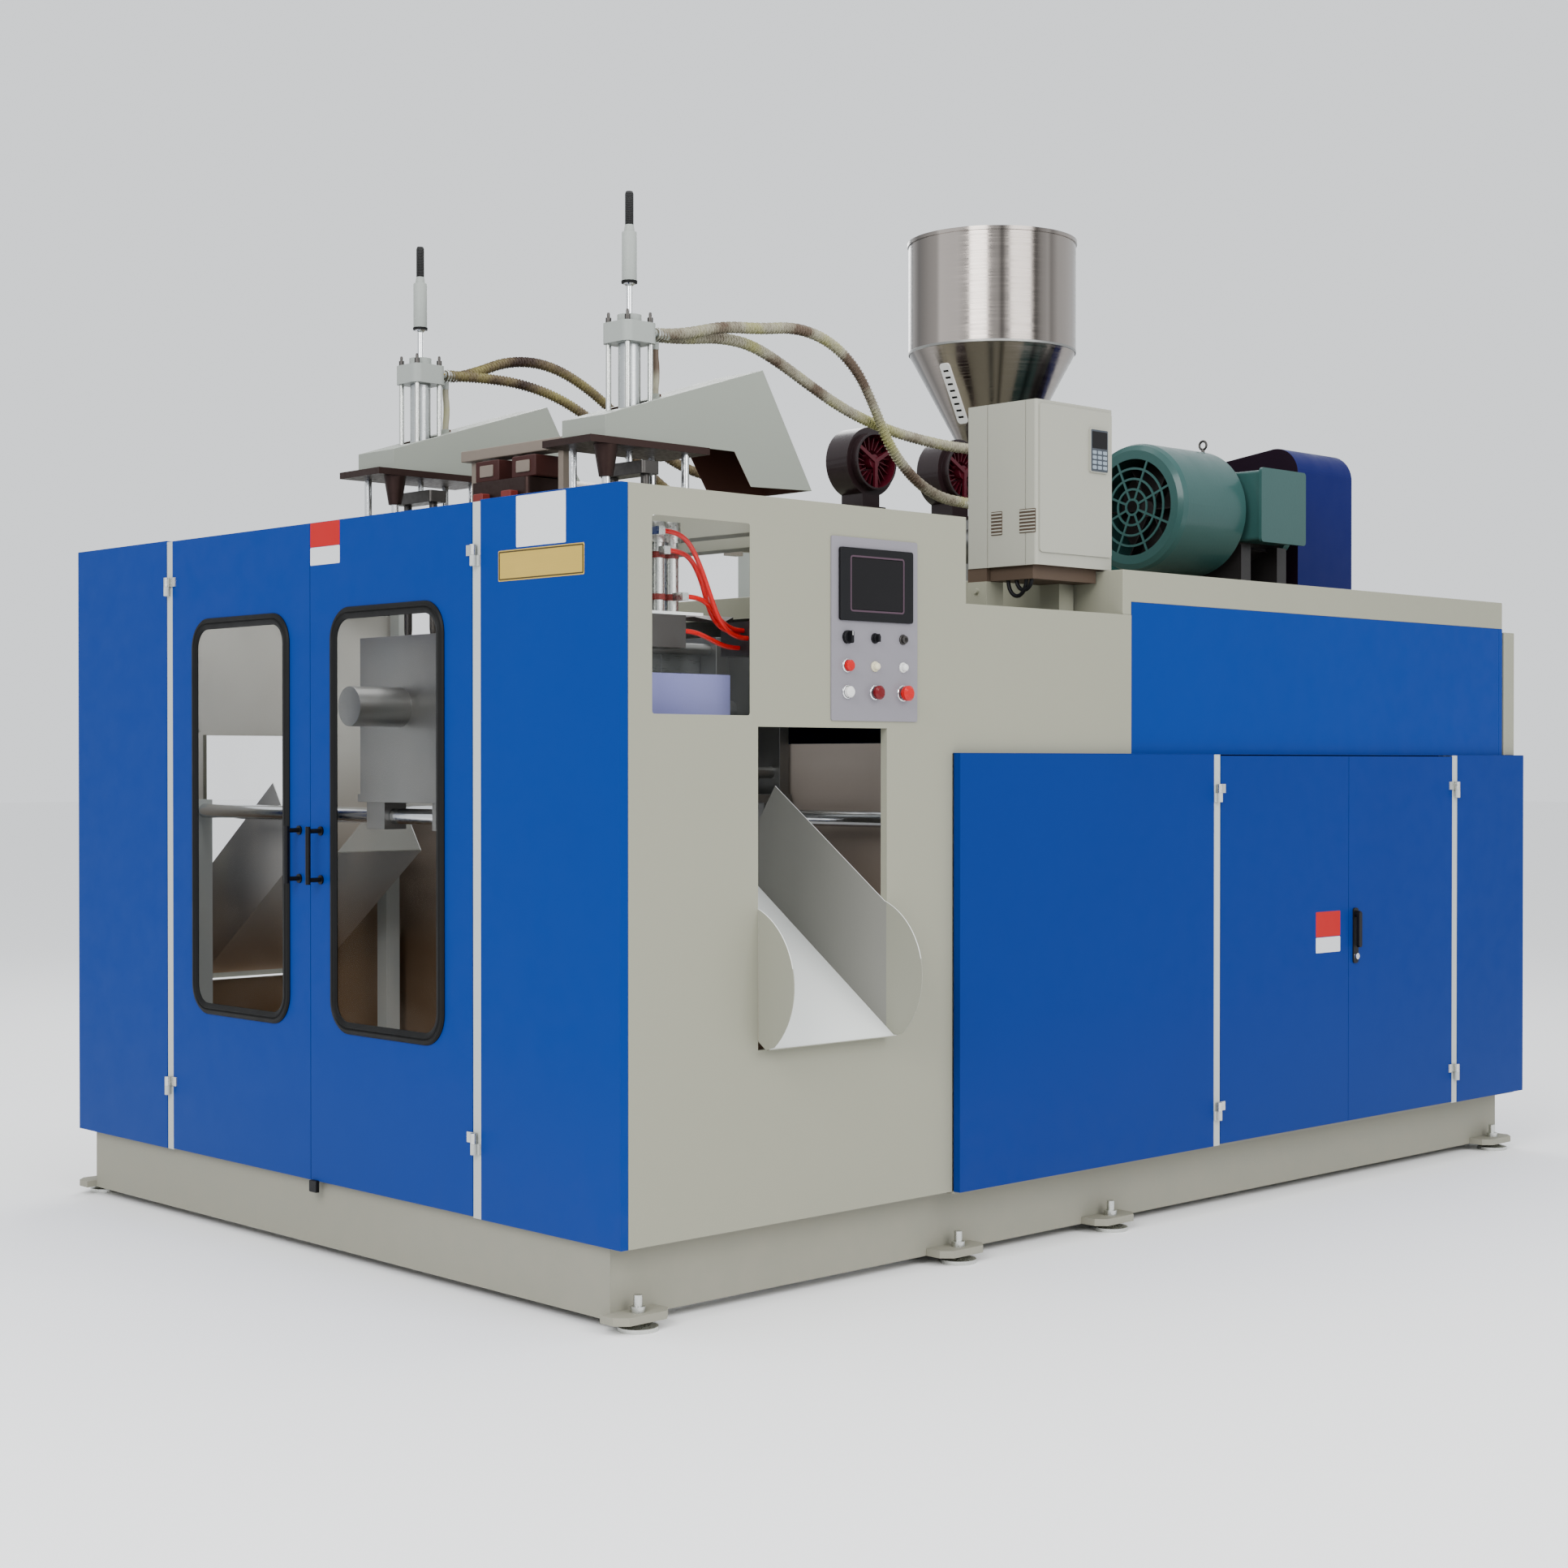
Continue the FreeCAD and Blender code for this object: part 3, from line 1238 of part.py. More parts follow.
# ---------------------------------------------------------------- carriages
def guideRails():
    start = railReach + railProud
    rails = [rod((-start, y, railHeight), (1, 0, 0), 2 * start, railRadius) for y in railStations]
    save("guide_rails", *rails)


def carriage():
    """Mould carriage: open bed on four rail bushes, two end plates, tie bars and clamp cylinders."""
    y0 = railStations[0] - endPlateReach
    y1 = railStations[1] + endPlateReach
    bedLow = railHeight + 45
    bed = box(-carriageHalf, carriageHalf, y0, y1, bedLow, bedLow + 25)
    bed = bed.cut(box(-170, 170, y0 + 140, y1 - 140, bedLow - 1, bedLow + 26))
    parts = [bed]
    for y in railStations:
        for side in (-1, 1):
            x = side * 180
            parts.append(box(x - 50, x + 50, y - 42, y + 42, railHeight - 42, bedLow))
    top = platenHigh + 12
    parts.append(box(-platenHalf, platenHalf, y0, y0 + endPlate, bedLow + 25, top))
    parts.append(box(-platenHalf, platenHalf, y1 - endPlate, y1, bedLow + 25, top))
    for z in tieBarHeights:
        for side in (-1, 1):
            parts.append(rod((side * tieBarX, y0, z), (0, 1, 0), y1 - y0, tieBarRadius))
    middle = (moldLow + moldHigh) / 2
    parts.append(rod((0, y0, middle), (0, -1, 0), clampBarrel, 62))
    parts.append(rod((0, y1, middle), (0, 1, 0), clampBarrel, 62))
    body = fuse(*parts)
    for y in railStations:
        body = body.cut(rod((-carriageHalf, y, railHeight), (1, 0, 0), 2 * carriageHalf, railRadius + slideClearance))
    bottom = clampBarrel - 10
    reach = rod((0, y0 - bottom, middle), (0, 1, 0), y1 - y0 + 2 * bottom, clampRod + slideClearance)
    return body.cut(reach)


def clampHalf(sign):
    """Platen, half mould and clamp rod on one side of the parting line."""
    y = moldY + sign * partingGap / 2
    inner = y + sign * moldDepth
    outer = inner + sign * platenThick
    mold = slabBox("y", y, inner, -moldHalf, moldHalf, moldLow, moldHigh)
    for side in (-1, 1):
        x = side * cavityPitch / 2
        profile = [(0, 60), (44, 60), (50, 80), (50, 210), (36, 240), (19, 262), (19, 351), (0, 351)]
        mold = mold.cut(turned(profile, (x, moldY, moldLow), (0, 0, 1)))
    platen = slabBox("y", inner, outer, -platenHalf, platenHalf, platenLow, platenHigh)
    for z in tieBarHeights:
        for side in (-1, 1):
            hole = rod((side * tieBarX, min(inner, outer), z), (0, 1, 0), platenThick, tieBarRadius + slideClearance)
            platen = platen.cut(hole)
    middle = (moldLow + moldHigh) / 2
    bottom = moldY + sign * (railStations[1] - railStations[0]) / 2 + sign * (endPlateReach + clampBarrel - 10)
    push = rod((0, outer, middle), (0, sign, 0), abs(bottom - outer) - clampStroke - 10, clampRod)
    return mold, fuse(platen, push)


def carriages():
    body = carriage()
    front = clampHalf(-1)
    rear = clampHalf(1)
    for name, x in (("left", 0.0), ("right", stationX)):
        save(name + "_carriage", moved(body, x))
        save(name + "_clamp_front", *[moved(s, x) for s in front])
        save(name + "_clamp_rear", *[moved(s, x) for s in rear])


# ---------------------------------------------------------------- hoses and air
def blowHoses():
    """Hoses from each blow cylinder back over the hoods to the valve racks, and down to the hoods."""
    hoses = []
    for route in blowRoutes():
        first, last = route[0], route[-1]
        start = [(first[0], hoseStart, first[2])]
        stop = [(last[0], rackFace, last[2])]
        hoses.append(hose(start + route + stop, hoseRadius))
    for side in (-1, 1):
        x = side * stationX
        y = moldY + dropReach
        bow = [(x + 2, y + 3, dropTop - 48), (x + 2, y + 3, hoodGlandTop + 46)]
        drop = [(x, y, dropTop), (x, y, dropTop - 22), *bow, (x, y, hoodGlandTop + 20), (x, y, hoodGlandTop)]
        hoses.append(hose(drop, dropRadius))
    hoses += [hose(route, airHoseRadius) for route in airRoutes()]
    save("air_hoses", *hoses)


def blowRoutes():
    """Routes of the blow hoses between their straight ends, read off the photograph's curves."""
    rightOuter = [
        (578, 930, 2842),
        (578, 1040, 2862),
        (577, 1180, 2900),
        (576, 1340, 2912),
        (576, 1500, 2938),
        (582, 1650, 2912),
        (592, 1770, 2830),
        (600, 1846, 2708),
        (602, 1926, 2570),
        (596, 2050, 2475),
        (582, 2190, 2428),
        (576, 2330, 2420),
    ]
    rightInner = [
        (538, 930, 2842),
        (538, 1050, 2850),
        (536, 1190, 2872),
        (534, 1330, 2868),
        (532, 1470, 2822),
        (534, 1620, 2755),
        (540, 1780, 2690),
        (562, 1960, 2640),
        (606, 2160, 2608),
        (640, 2330, 2600),
    ]
    leftOuter = [
        (-578, 950, 2842),
        (-577, 1050, 2872),
        (-572, 1190, 2930),
        (-564, 1360, 2936),
        (-552, 1530, 2870),
        (-545, 1690, 2765),
        (-545, 1850, 2670),
        (-550, 2010, 2610),
        (-562, 2190, 2590),
        (-576, 2330, 2590),
    ]
    leftInner = [
        (-538, 930, 2842),
        (-524, 1040, 2846),
        (-488, 1180, 2838),
        (-448, 1330, 2795),
        (-428, 1480, 2715),
        (-440, 1640, 2620),
        (-478, 1810, 2535),
        (-530, 1990, 2472),
        (-600, 2180, 2432),
        (-640, 2330, 2424),
    ]
    return [rightOuter, rightInner, leftOuter, leftInner]


def valveRacks():
    """Valve racks on the deck that the blow hoses run to, with the air unit behind the side window."""
    racks = []
    for side in (-1, 1):
        plate = box(side * 608 - 70, side * 608 + 70, rackFace + 24, rackFace + 44, deckTop, 2660)
        foot = box(side * 608 - 70, side * 608 + 70, rackFace + 44, rackFace + 104, deckTop, deckTop + 8)
        ports = []
        routes = ((576, 2420), (640, 2600)) if side > 0 else ((-576, 2590), (-640, 2424))
        for x, z in routes:
            ports.append(rod((x, rackFace, z), (0, 1, 0), 26, 12))
            ports.append(box(x - 28, x + 28, rackFace + 44, rackFace + 90, z - 34, z + 34))
        racks.append(fuse(plate, foot, *ports))
    save("valve_racks", *racks, airUnit())


def airUnit():
    """Air valves on a bracket behind the right side window, and the outlet block their hoses run to."""
    back = valveX - 40
    low = sideWindow[2] - 30
    post = panelDepth + cornerPost
    bracket = box(back, postFace, post, post + 8, low, airShelf)
    arm = box(back, back + 8, post, airOutlet + 40, airShelf - 18, airShelf)
    shelf = box(back, valveX + 48, airValves[0] - 35, airValves[-1] + 75, airShelf - 8, airShelf)
    block = box(back, valveX + 44, airValves[0] - 25, airBlockEnd, airShelf - 98, airShelf - 8)
    outlet = box(back, valveX + 84, airOutlet, airOutlet + 40, airShelf - 113, airShelf - 18)
    apron = box(postInner - 12, postInner - 9, post, sideWindow[1] + 10, low, airShelf - 170)
    solids = [bracket, arm, shelf, block, outlet, apron]
    for y in airValves:
        solids.append(rod((valveX, y, airShelf), (0, 0, 1), valveHeight, 20))
        solids.append(rod((valveX, y, airShelf + valveHeight), (0, 0, 1), 56, 26))
    for y, (x, z) in zip(airValves, airPorts):
        solids.append(box(valveX, x + 8, y - 11, y + 11, z - 11, z + 11))
    return fuse(*solids)


def airRoutes():
    """Routes of the red air hoses, each in its own upright plane, from a valve to the outlet block."""
    outer = [(276, 2128), (326, 2106), (368, 2044), (404, 1966), (436, 1898), (474, 1862), (514, 1848)]
    inner = [(326, 2080), (370, 2060), (404, 2006), (424, 1950), (446, 1904), (478, 1876), (514, 1866)]
    middle = [(376, 1955), (416, 1938), (448, 1904), (484, 1880), (518, 1870)]
    low = [(376, 1862), (424, 1848), (480, 1828), (516, 1822)]
    routes = []
    starts = [y + 11 for y in airValves] + [airBlockEnd]
    planes = [x for x, z in airPorts] + [airPorts[1][0]]
    for x, start, bends in zip(planes, starts, (outer, inner, middle, low)):
        ends = [(start, bends[0][1]), *bends, (airOutlet, bends[-1][1])]
        routes.append([(x, y, z) for y, z in ends])
    return routes


baseFrame()
levellingFeet()
enclosurePosts()
crossBeamSet()
frontPanels()
sidePanels()
sideWindows()
lowerPanels()
upperPanels()
roofSheets()
rearDeck()
chutes()
doors()
cabinetDoors()
controlStation()
inverter()
hopper()
barrelParts()
barrelBlowers()
gearbox()
dieHead()
motor()
drive()
blowStations()
guideRails()
carriages()
blowHoses()
valveRacks()
print(len(written), "nodes")
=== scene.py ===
import bmesh
import bpy
import math
from mathutils import Matrix, Vector


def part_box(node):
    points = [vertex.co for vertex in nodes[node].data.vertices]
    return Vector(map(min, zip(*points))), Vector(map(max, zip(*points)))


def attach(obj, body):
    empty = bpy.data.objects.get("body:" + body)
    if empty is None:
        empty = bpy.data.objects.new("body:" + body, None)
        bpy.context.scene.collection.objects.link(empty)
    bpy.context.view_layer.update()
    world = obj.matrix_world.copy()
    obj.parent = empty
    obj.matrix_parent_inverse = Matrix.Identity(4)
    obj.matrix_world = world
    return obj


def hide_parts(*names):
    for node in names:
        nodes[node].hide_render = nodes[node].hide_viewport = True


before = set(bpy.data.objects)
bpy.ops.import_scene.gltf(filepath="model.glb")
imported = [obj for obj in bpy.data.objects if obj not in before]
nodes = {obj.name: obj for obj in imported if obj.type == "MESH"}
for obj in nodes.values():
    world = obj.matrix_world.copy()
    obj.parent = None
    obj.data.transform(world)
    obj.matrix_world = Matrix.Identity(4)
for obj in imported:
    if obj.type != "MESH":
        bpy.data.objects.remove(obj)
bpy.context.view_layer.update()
scene = bpy.context.scene
root = "machine_frame"

# Lengths along Y below count from the front face of the enclosure, as in the CAD source.
midLength = -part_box("front_panels")[0].y
# Both blow stations and the die head stand on one line across the machine.
stationX = 0.558
stationY = 0.800
toward = {"front": (0, -1, 0), "side": (1, 0, 0), "left": (-1, 0, 0), "back": (0, 1, 0), "up": (0, 0, 1)}


def at(x, y, z):
    return Vector((x, y - midLength, z))


def front(point):
    return point + Vector((0, midLength, 0))


# Camera, floor and studio light
stage = {
    "camera": at(6.313, -4.030, 1.5),
    "turn": (89.50, 0.0, 46.33),
    "lens": 55.35,
    "clipEnd": 400.0,
    "floorSize": 160.0,
    "floorColor": (0.93, 0.93, 0.93, 1.0),
    "floorRoughness": 0.7,
    "worldColor": (0.94, 0.97, 1.0, 1.0),
    "worldStrength": 1.25,
    "target": at(0, 1.5, 1.3),
    # name, place, size and power
    "lights": [
        ("keyLight", at(4.5, -7.5, 6.5), 5.0, 900.0),
        ("sideLight", at(9.0, 1.5, 5.5), 5.0, 520.0),
        ("topLight", at(0.0, 1.5, 8.5), 6.0, 380.0),
        ("backLight", at(-5.5, 6.5, 6.0), 4.0, 260.0),
    ],
}


def makeStage():
    camera = bpy.data.objects.new("camera", bpy.data.cameras.new("camera"))
    camera.location = stage["camera"]
    camera.rotation_euler = [math.radians(a) for a in stage["turn"]]
    camera.data.lens = stage["lens"]
    camera.data.sensor_width = 36.0
    camera.data.clip_end = stage["clipEnd"]
    scene.collection.objects.link(camera)
    scene.camera = camera
    half = stage["floorSize"] / 2
    corners = [(-half, -half, 0), (half, -half, 0), (half, half, 0), (-half, half, 0)]
    mesh = bpy.data.meshes.new("floor")
    mesh.from_pydata(corners, [], [(0, 1, 2, 3)])
    floor = bpy.data.objects.new("floor", mesh)
    scene.collection.objects.link(floor)
    material = bpy.data.materials.new("floorPaint")
    material.use_nodes = True
    shader = material.node_tree.nodes["Principled BSDF"]
    shader.inputs["Base Color"].default_value = stage["floorColor"]
    shader.inputs["Roughness"].default_value = stage["floorRoughness"]
    mesh.materials.append(material)
    world = bpy.data.worlds.new("studio")
    world.use_nodes = True
    background = world.node_tree.nodes["Background"]
    background.inputs["Color"].default_value = stage["worldColor"]
    background.inputs["Strength"].default_value = stage["worldStrength"]
    scene.world = world
    for name, place, size, power in stage["lights"]:
        data = bpy.data.lights.new(name, "AREA")
        data.shape = "SQUARE"
        data.size = size
        data.energy = power
        lamp = bpy.data.objects.new(name, data)
        lamp.location = place
        lamp.rotation_euler = (stage["target"] - place).to_track_quat("-Z", "Y").to_euler()
        scene.collection.objects.link(lamp)


makeStage()
print("stage done")


# Node helpers: a socket is linked, a plain value is set
def feed(tree, node, inputs):
    for key, value in inputs.items():
        if hasattr(value, "is_output"):
            tree.links.new(value, node.inputs[key])
        else:
            node.inputs[key].default_value = value


def addNode(tree, kind, inputs=None, **values):
    node = tree.nodes.new(kind)
    for key, value in values.items():
        setattr(node, key, value)
    feed(tree, node, inputs or {})
    return node


def newGroup(name, kind, inputs, outputs):
    tree = bpy.data.node_groups.new(name, kind)
    for label, socketKind, value in inputs:
        socket = tree.interface.new_socket(label, in_out="INPUT", socket_type=socketKind)
        if value is not None:
            socket.default_value = value
    for label, socketKind in outputs:
        tree.interface.new_socket(label, in_out="OUTPUT", socket_type=socketKind)
    return tree, tree.nodes.new("NodeGroupInput"), tree.nodes.new("NodeGroupOutput")


def maths(tree, operation, a, b=0.0):
    return addNode(tree, "ShaderNodeMath", {0: a, 1: b}, operation=operation).outputs[0]


def mixColor(tree, factor, a, b):
    return addNode(tree, "ShaderNodeMix", {0: factor, 6: a, 7: b}, data_type="RGBA").outputs[2]


def objectPlace(tree):
    return addNode(tree, "ShaderNodeTexCoord").outputs["Object"]


def noise(tree, place, scale, detail):
    return addNode(tree, "ShaderNodeTexNoise", {"Vector": place, "Scale": scale, "Detail": detail}).outputs[0]


def remap(tree, value, low, high, start, end):
    inputs = {"Value": value, 1: low, 2: high, 3: start, 4: end}
    return addNode(tree, "ShaderNodeMapRange", inputs).outputs[0]


def darkened(tree, color, value):
    return addNode(tree, "ShaderNodeHueSaturation", {"Value": value, "Color": color}).outputs[0]


def bumped(tree, height, strength, distance):
    inputs = {"Strength": strength, "Distance": distance, "Height": height}
    return addNode(tree, "ShaderNodeBump", inputs).outputs[0]


# Shader groups shared by the materials
finishOutputs = [
    ("Color", "NodeSocketColor"),
    ("Roughness", "NodeSocketFloat"),
    ("Normal", "NodeSocketVector"),
]
dustColor = (0.30, 0.27, 0.22, 1.0)


def buildFinish():
    # Paint skin: slow colour drift, floor dust, orange peel and patchy gloss.
    inputs = [
        ("Color", "NodeSocketColor", (0.5, 0.5, 0.5, 1.0)),
        ("Roughness", "NodeSocketFloat", 0.4),
        ("Drift", "NodeSocketFloat", 0.3),
        ("Dust", "NodeSocketFloat", 0.2),
        ("Peel", "NodeSocketFloat", 0.1),
        ("PeelScale", "NodeSocketFloat", 260.0),
    ]
    tree, source, sink = newGroup("paintFinish", "ShaderNodeTree", inputs, finishOutputs)
    place = objectPlace(tree)
    broad = noise(tree, place, 1.6, 5.0)
    middle = noise(tree, place, 14.0, 6.0)
    fine = noise(tree, place, source.outputs["PeelScale"], 2.0)
    darker = darkened(tree, source.outputs["Color"], 0.78)
    drift = maths(tree, "MULTIPLY", broad, source.outputs["Drift"])
    color = mixColor(tree, drift, source.outputs["Color"], darker)
    height = addNode(tree, "ShaderNodeSeparateXYZ", {0: place}).outputs["Z"]
    low = remap(tree, height, 0.0, 0.75, 1.0, 0.0)
    patch = remap(tree, middle, 0.35, 0.75, 0.25, 1.0)
    dust = maths(tree, "MULTIPLY", maths(tree, "MULTIPLY", low, patch), source.outputs["Dust"])
    color = mixColor(tree, dust, color, dustColor)
    uneven = maths(tree, "ADD", source.outputs["Roughness"], remap(tree, middle, 0.3, 0.7, -0.05, 0.07))
    rough = maths(tree, "ADD", uneven, maths(tree, "MULTIPLY", dust, 0.5))
    bump = bumped(tree, fine, source.outputs["Peel"], 0.0008)
    feed(tree, sink, {"Color": color, "Roughness": rough, "Normal": bump})
    return tree


def buildBrushed():
    # Metal skin: fine lines along one direction, soft stains and gloss that follows the lines.
    inputs = [
        ("Color", "NodeSocketColor", (0.6, 0.6, 0.6, 1.0)),
        ("Roughness", "NodeSocketFloat", 0.3),
        ("Lines", "NodeSocketVector", (8.0, 8.0, 400.0)),
        ("Depth", "NodeSocketFloat", 0.15),
        ("Stain", "NodeSocketFloat", 0.25),
    ]
    tree, source, sink = newGroup("brushedFinish", "ShaderNodeTree", inputs, finishOutputs)
    place = objectPlace(tree)
    stretch = {0: place, 1: source.outputs["Lines"]}
    stretched = addNode(tree, "ShaderNodeVectorMath", stretch, operation="MULTIPLY").outputs[0]
    lines = noise(tree, stretched, 1.0, 4.0)
    stain = maths(tree, "MULTIPLY", noise(tree, place, 9.0, 6.0), source.outputs["Stain"])
    color = mixColor(tree, stain, source.outputs["Color"], darkened(tree, source.outputs["Color"], 0.6))
    rough = maths(tree, "ADD", source.outputs["Roughness"], remap(tree, lines, 0.3, 0.7, -0.07, 0.09))
    bump = bumped(tree, lines, source.outputs["Depth"], 0.0004)
    feed(tree, sink, {"Color": color, "Roughness": rough, "Normal": bump})
    return tree


paintFinish = buildFinish()
brushedFinish = buildBrushed()
looks = {}


def newLook(name):
    material = bpy.data.materials.new(name)
    material.use_nodes = True
    looks[name] = material
    return material.node_tree, material.node_tree.nodes["Principled BSDF"]


def useGroup(tree, shader, group, values):
    skin = addNode(tree, "ShaderNodeGroup", values, node_tree=group).outputs
    feed(tree, shader, {"Base Color": skin["Color"], "Roughness": skin["Roughness"]})
    feed(tree, shader, {"Normal": skin["Normal"]})


def paint(name, color, roughness, drift, dust, peel, peelScale=260.0, coat=0.0, metallic=0.0, gloss=0.14):
    tree, shader = newLook(name)
    values = {"Color": (*color, 1.0), "Roughness": roughness, "Drift": drift, "Dust": dust}
    useGroup(tree, shader, paintFinish, {**values, "Peel": peel, "PeelScale": peelScale})
    feed(tree, shader, {"Coat Weight": coat, "Coat Roughness": 0.15})
    feed(tree, shader, {"Specular IOR Level": gloss, "Metallic": metallic})


def metal(name, color, roughness, lines, depth, stain):
    tree, shader = newLook(name)
    values = {"Color": (*color, 1.0), "Roughness": roughness, "Lines": lines, "Depth": depth, "Stain": stain}
    useGroup(tree, shader, brushedFinish, values)
    shader.inputs["Metallic"].default_value = 1.0


def windowGlass(name, tint):
    # Clear pane with a faint smear: its coat catches the light.
    tree, shader = newLook(name)
    inputs = {"Vector": objectPlace(tree), "Scale": 3.5, "Detail": 8.0, "Distortion": 0.6}
    smear = addNode(tree, "ShaderNodeTexNoise", inputs).outputs[0]
    haze = remap(tree, smear, 0.4, 0.75, 0.0, 0.05)
    feed(tree, shader, {"Base Color": (*tint, 1.0), "Roughness": 0.05, "Coat Weight": 0.4, "Alpha": haze})


# Painted reflection: light and dark bands round the hopper, set into its colour by the angle: (part of the
# turn, level)
hopperReflectionBands = [
    (0.12, 0.03), (0.165, 0.05), (0.175, 0.20), (0.20, 0.10), (0.235, 0.22), (0.253, 0.26), (0.262, 0.46),
    (0.300, 0.42), (0.318, 0.27), (0.376, 0.22), (0.384, 0.07), (0.392, 0.24), (0.440, 0.22), (0.450, 0.06),
    (0.462, 0.18), (0.478, 0.26), (0.486, 0.15), (0.505, 0.28), (0.545, 0.30), (0.590, 0.20), (0.62, 0.10),
    (0.80, 0.25),
]
hopperWarmth = (1.0, 0.89, 0.81)
hopperReflectionWrapTone = (0.20, 0.19, 0.18)
hopperAxis = 3.129


def hopperSheet(name):
    # Polished sheet rolled round the hopper's axis: painted reflection bands in its colour, and faint grain,
    # follow the angle.
    tree, shader = newLook(name)
    shift = {0: objectPlace(tree), 1: (0.0, midLength - hopperAxis, 0.0)}
    centre = addNode(tree, "ShaderNodeVectorMath", shift, operation="ADD").outputs[0]
    parts = addNode(tree, "ShaderNodeSeparateXYZ", {0: centre})
    angle = maths(tree, "ARCTAN2", parts.outputs["Y"], parts.outputs["X"])
    turn = maths(tree, "ADD", maths(tree, "MULTIPLY", angle, 0.5 / math.pi), 0.5)
    tone = addNode(tree, "ShaderNodeValToRGB", {0: turn})
    bands = tone.color_ramp.elements
    for stop, level in hopperReflectionBands:
        bands.new(stop).color = (*[level * warm for warm in hopperWarmth], 1.0)
    # Both ends of the turn take one tone, so the painted reflection bands close round the back.
    for end in (0, -1):
        bands[end].color = (*hopperReflectionWrapTone, 1.0)
    values = {"Color": tone.outputs[0], "Roughness": 0.17, "Lines": (6.0, 6.0, 260.0)}
    useGroup(tree, shader, brushedFinish, {**values, "Depth": 0.05, "Stain": 0.12})
    shader.inputs["Metallic"].default_value = 1.0


def thread(name, color, pitch):
    tree, shader = newLook(name)
    inputs = {"Vector": objectPlace(tree), "Scale": 1.0 / pitch * 0.32}
    wave = addNode(tree, "ShaderNodeTexWave", inputs, bands_direction="Z").outputs[1]
    feed(tree, shader, {"Base Color": (*color, 1.0), "Metallic": 0.7, "Roughness": 0.45})
    feed(tree, shader, {"Normal": bumped(tree, wave, 0.9, 0.002)})


def wrappedHose(name, dark, light, tint):
    # Wrapped hose: patches of bare dark hose, pale wrap and a greenish tint along its run.
    tree, shader = newLook(name)
    tone = addNode(tree, "ShaderNodeValToRGB", {0: noise(tree, objectPlace(tree), 7.0, 6.0)})
    ramp = tone.color_ramp.elements
    ramp[0].position = 0.36
    ramp[0].color = (*dark, 1.0)
    ramp[1].position = 0.50
    ramp[1].color = (*light, 1.0)
    ramp.new(0.68).color = (*tint, 1.0)
    values = {"Color": tone.outputs[0], "Roughness": 0.5, "Drift": 0.8, "Dust": 0.0}
    useGroup(tree, shader, paintFinish, {**values, "Peel": 0.4, "PeelScale": 180.0})
    shader.inputs["Specular IOR Level"].default_value = 0.2


def gradedPaint(name, low, high, z0, z1):
    # Paint that turns from one colour to another between two heights: painted shade, darker towards the
    # bottom.
    tree, shader = newLook(name)
    height = addNode(tree, "ShaderNodeSeparateXYZ", {0: objectPlace(tree)}).outputs["Z"]
    color = mixColor(tree, remap(tree, height, z0, z1, 0.0, 1.0), (*low, 1.0), (*high, 1.0))
    values = {"Color": color, "Roughness": 0.6, "Drift": 0.6, "Dust": 0.0, "Peel": 0.0}
    useGroup(tree, shader, paintFinish, values)
    shader.inputs["Specular IOR Level"].default_value = 0.08


# Colour, roughness, drift, dust and peel
paint("panelBlue", (0.0, 0.026, 0.180), 0.45, 0.35, 0.03, 0.10, gloss=0.07)
paint("cabinetBlue", (0.0, 0.020, 0.150), 0.45, 0.35, 0.03, 0.10, gloss=0.07)
paint("guardBlue", (0.001, 0.004, 0.075), 0.40, 0.3, 0.0, 0.12, gloss=0.08)
paint("guardShade", (0.008, 0.003, 0.008), 0.45, 0.4, 0.0, 0.12, gloss=0.08)
paint("creamPaint", (0.245, 0.243, 0.188), 0.48, 0.25, 0.20, 0.14)
paint("postPaint", (0.400, 0.420, 0.400), 0.42, 0.25, 0.15, 0.12)
paint("basePaint", (0.225, 0.222, 0.178), 0.55, 0.4, 0.30, 0.18, 180.0)
paint("hoodPaint", (0.245, 0.262, 0.228), 0.45, 0.25, 0.0, 0.12)
paint("hoodInside", (0.060, 0.022, 0.015), 0.6, 0.5, 0.0, 0.12)
paint("stationGrey", (0.290, 0.310, 0.290), 0.4, 0.3, 0.0, 0.10)
paint("chuteWhite", (0.68, 0.70, 0.68), 0.35, 0.12, 0.0, 0.06)
paint("chuteGrey", (0.190, 0.188, 0.168), 0.42, 0.25, 0.05, 0.08)
paint("chuteCream", (0.240, 0.240, 0.192), 0.42, 0.25, 0.10, 0.08)
paint("motorTeal", (0.022, 0.066, 0.062), 0.34, 0.55, 0.0, 0.35, 120.0, coat=0.25)
paint("finDark", (0.016, 0.014, 0.014), 0.4, 0.5, 0.0, 0.4, 120.0, coat=0.2)
paint("gearTeal", (0.035, 0.120, 0.105), 0.42, 0.5, 0.0, 0.6, 90.0, coat=0.2)
paint("caseIvory", (0.300, 0.298, 0.252), 0.42, 0.15, 0.0, 0.2, 700.0)
paint("ventBrown", (0.070, 0.048, 0.034), 0.6, 0.4, 0.0, 0.2, 700.0)
paint("blowerDark", (0.014, 0.007, 0.008), 0.32, 0.6, 0.0, 0.4, 110.0, coat=0.3)
paint("blowerRed", (0.060, 0.004, 0.010), 0.35, 0.5, 0.0, 0.3, 110.0, coat=0.2)
paint("blackPlastic", (0.004, 0.004, 0.005), 0.42, 0.4, 0.0, 0.35, 900.0)
paint("rubber", (0.002, 0.002, 0.002), 0.5, 0.5, 0.05, 0.3, 500.0)
paint("redPlastic", (0.42, 0.001, 0.002), 0.25, 0.2, 0.0, 0.05, 500.0, coat=0.3)
paint("darkRed", (0.11, 0.001, 0.003), 0.28, 0.2, 0.0, 0.05, 500.0, coat=0.3)
paint("creamPlastic", (0.58, 0.54, 0.38), 0.28, 0.1, 0.0, 0.04, 500.0, coat=0.5)
paint("whitePlastic", (0.62, 0.62, 0.60), 0.28, 0.1, 0.0, 0.04, 500.0, coat=0.5)
paint("keyDark", (0.045, 0.052, 0.062), 0.45, 0.2, 0.0, 0.2, 900.0)
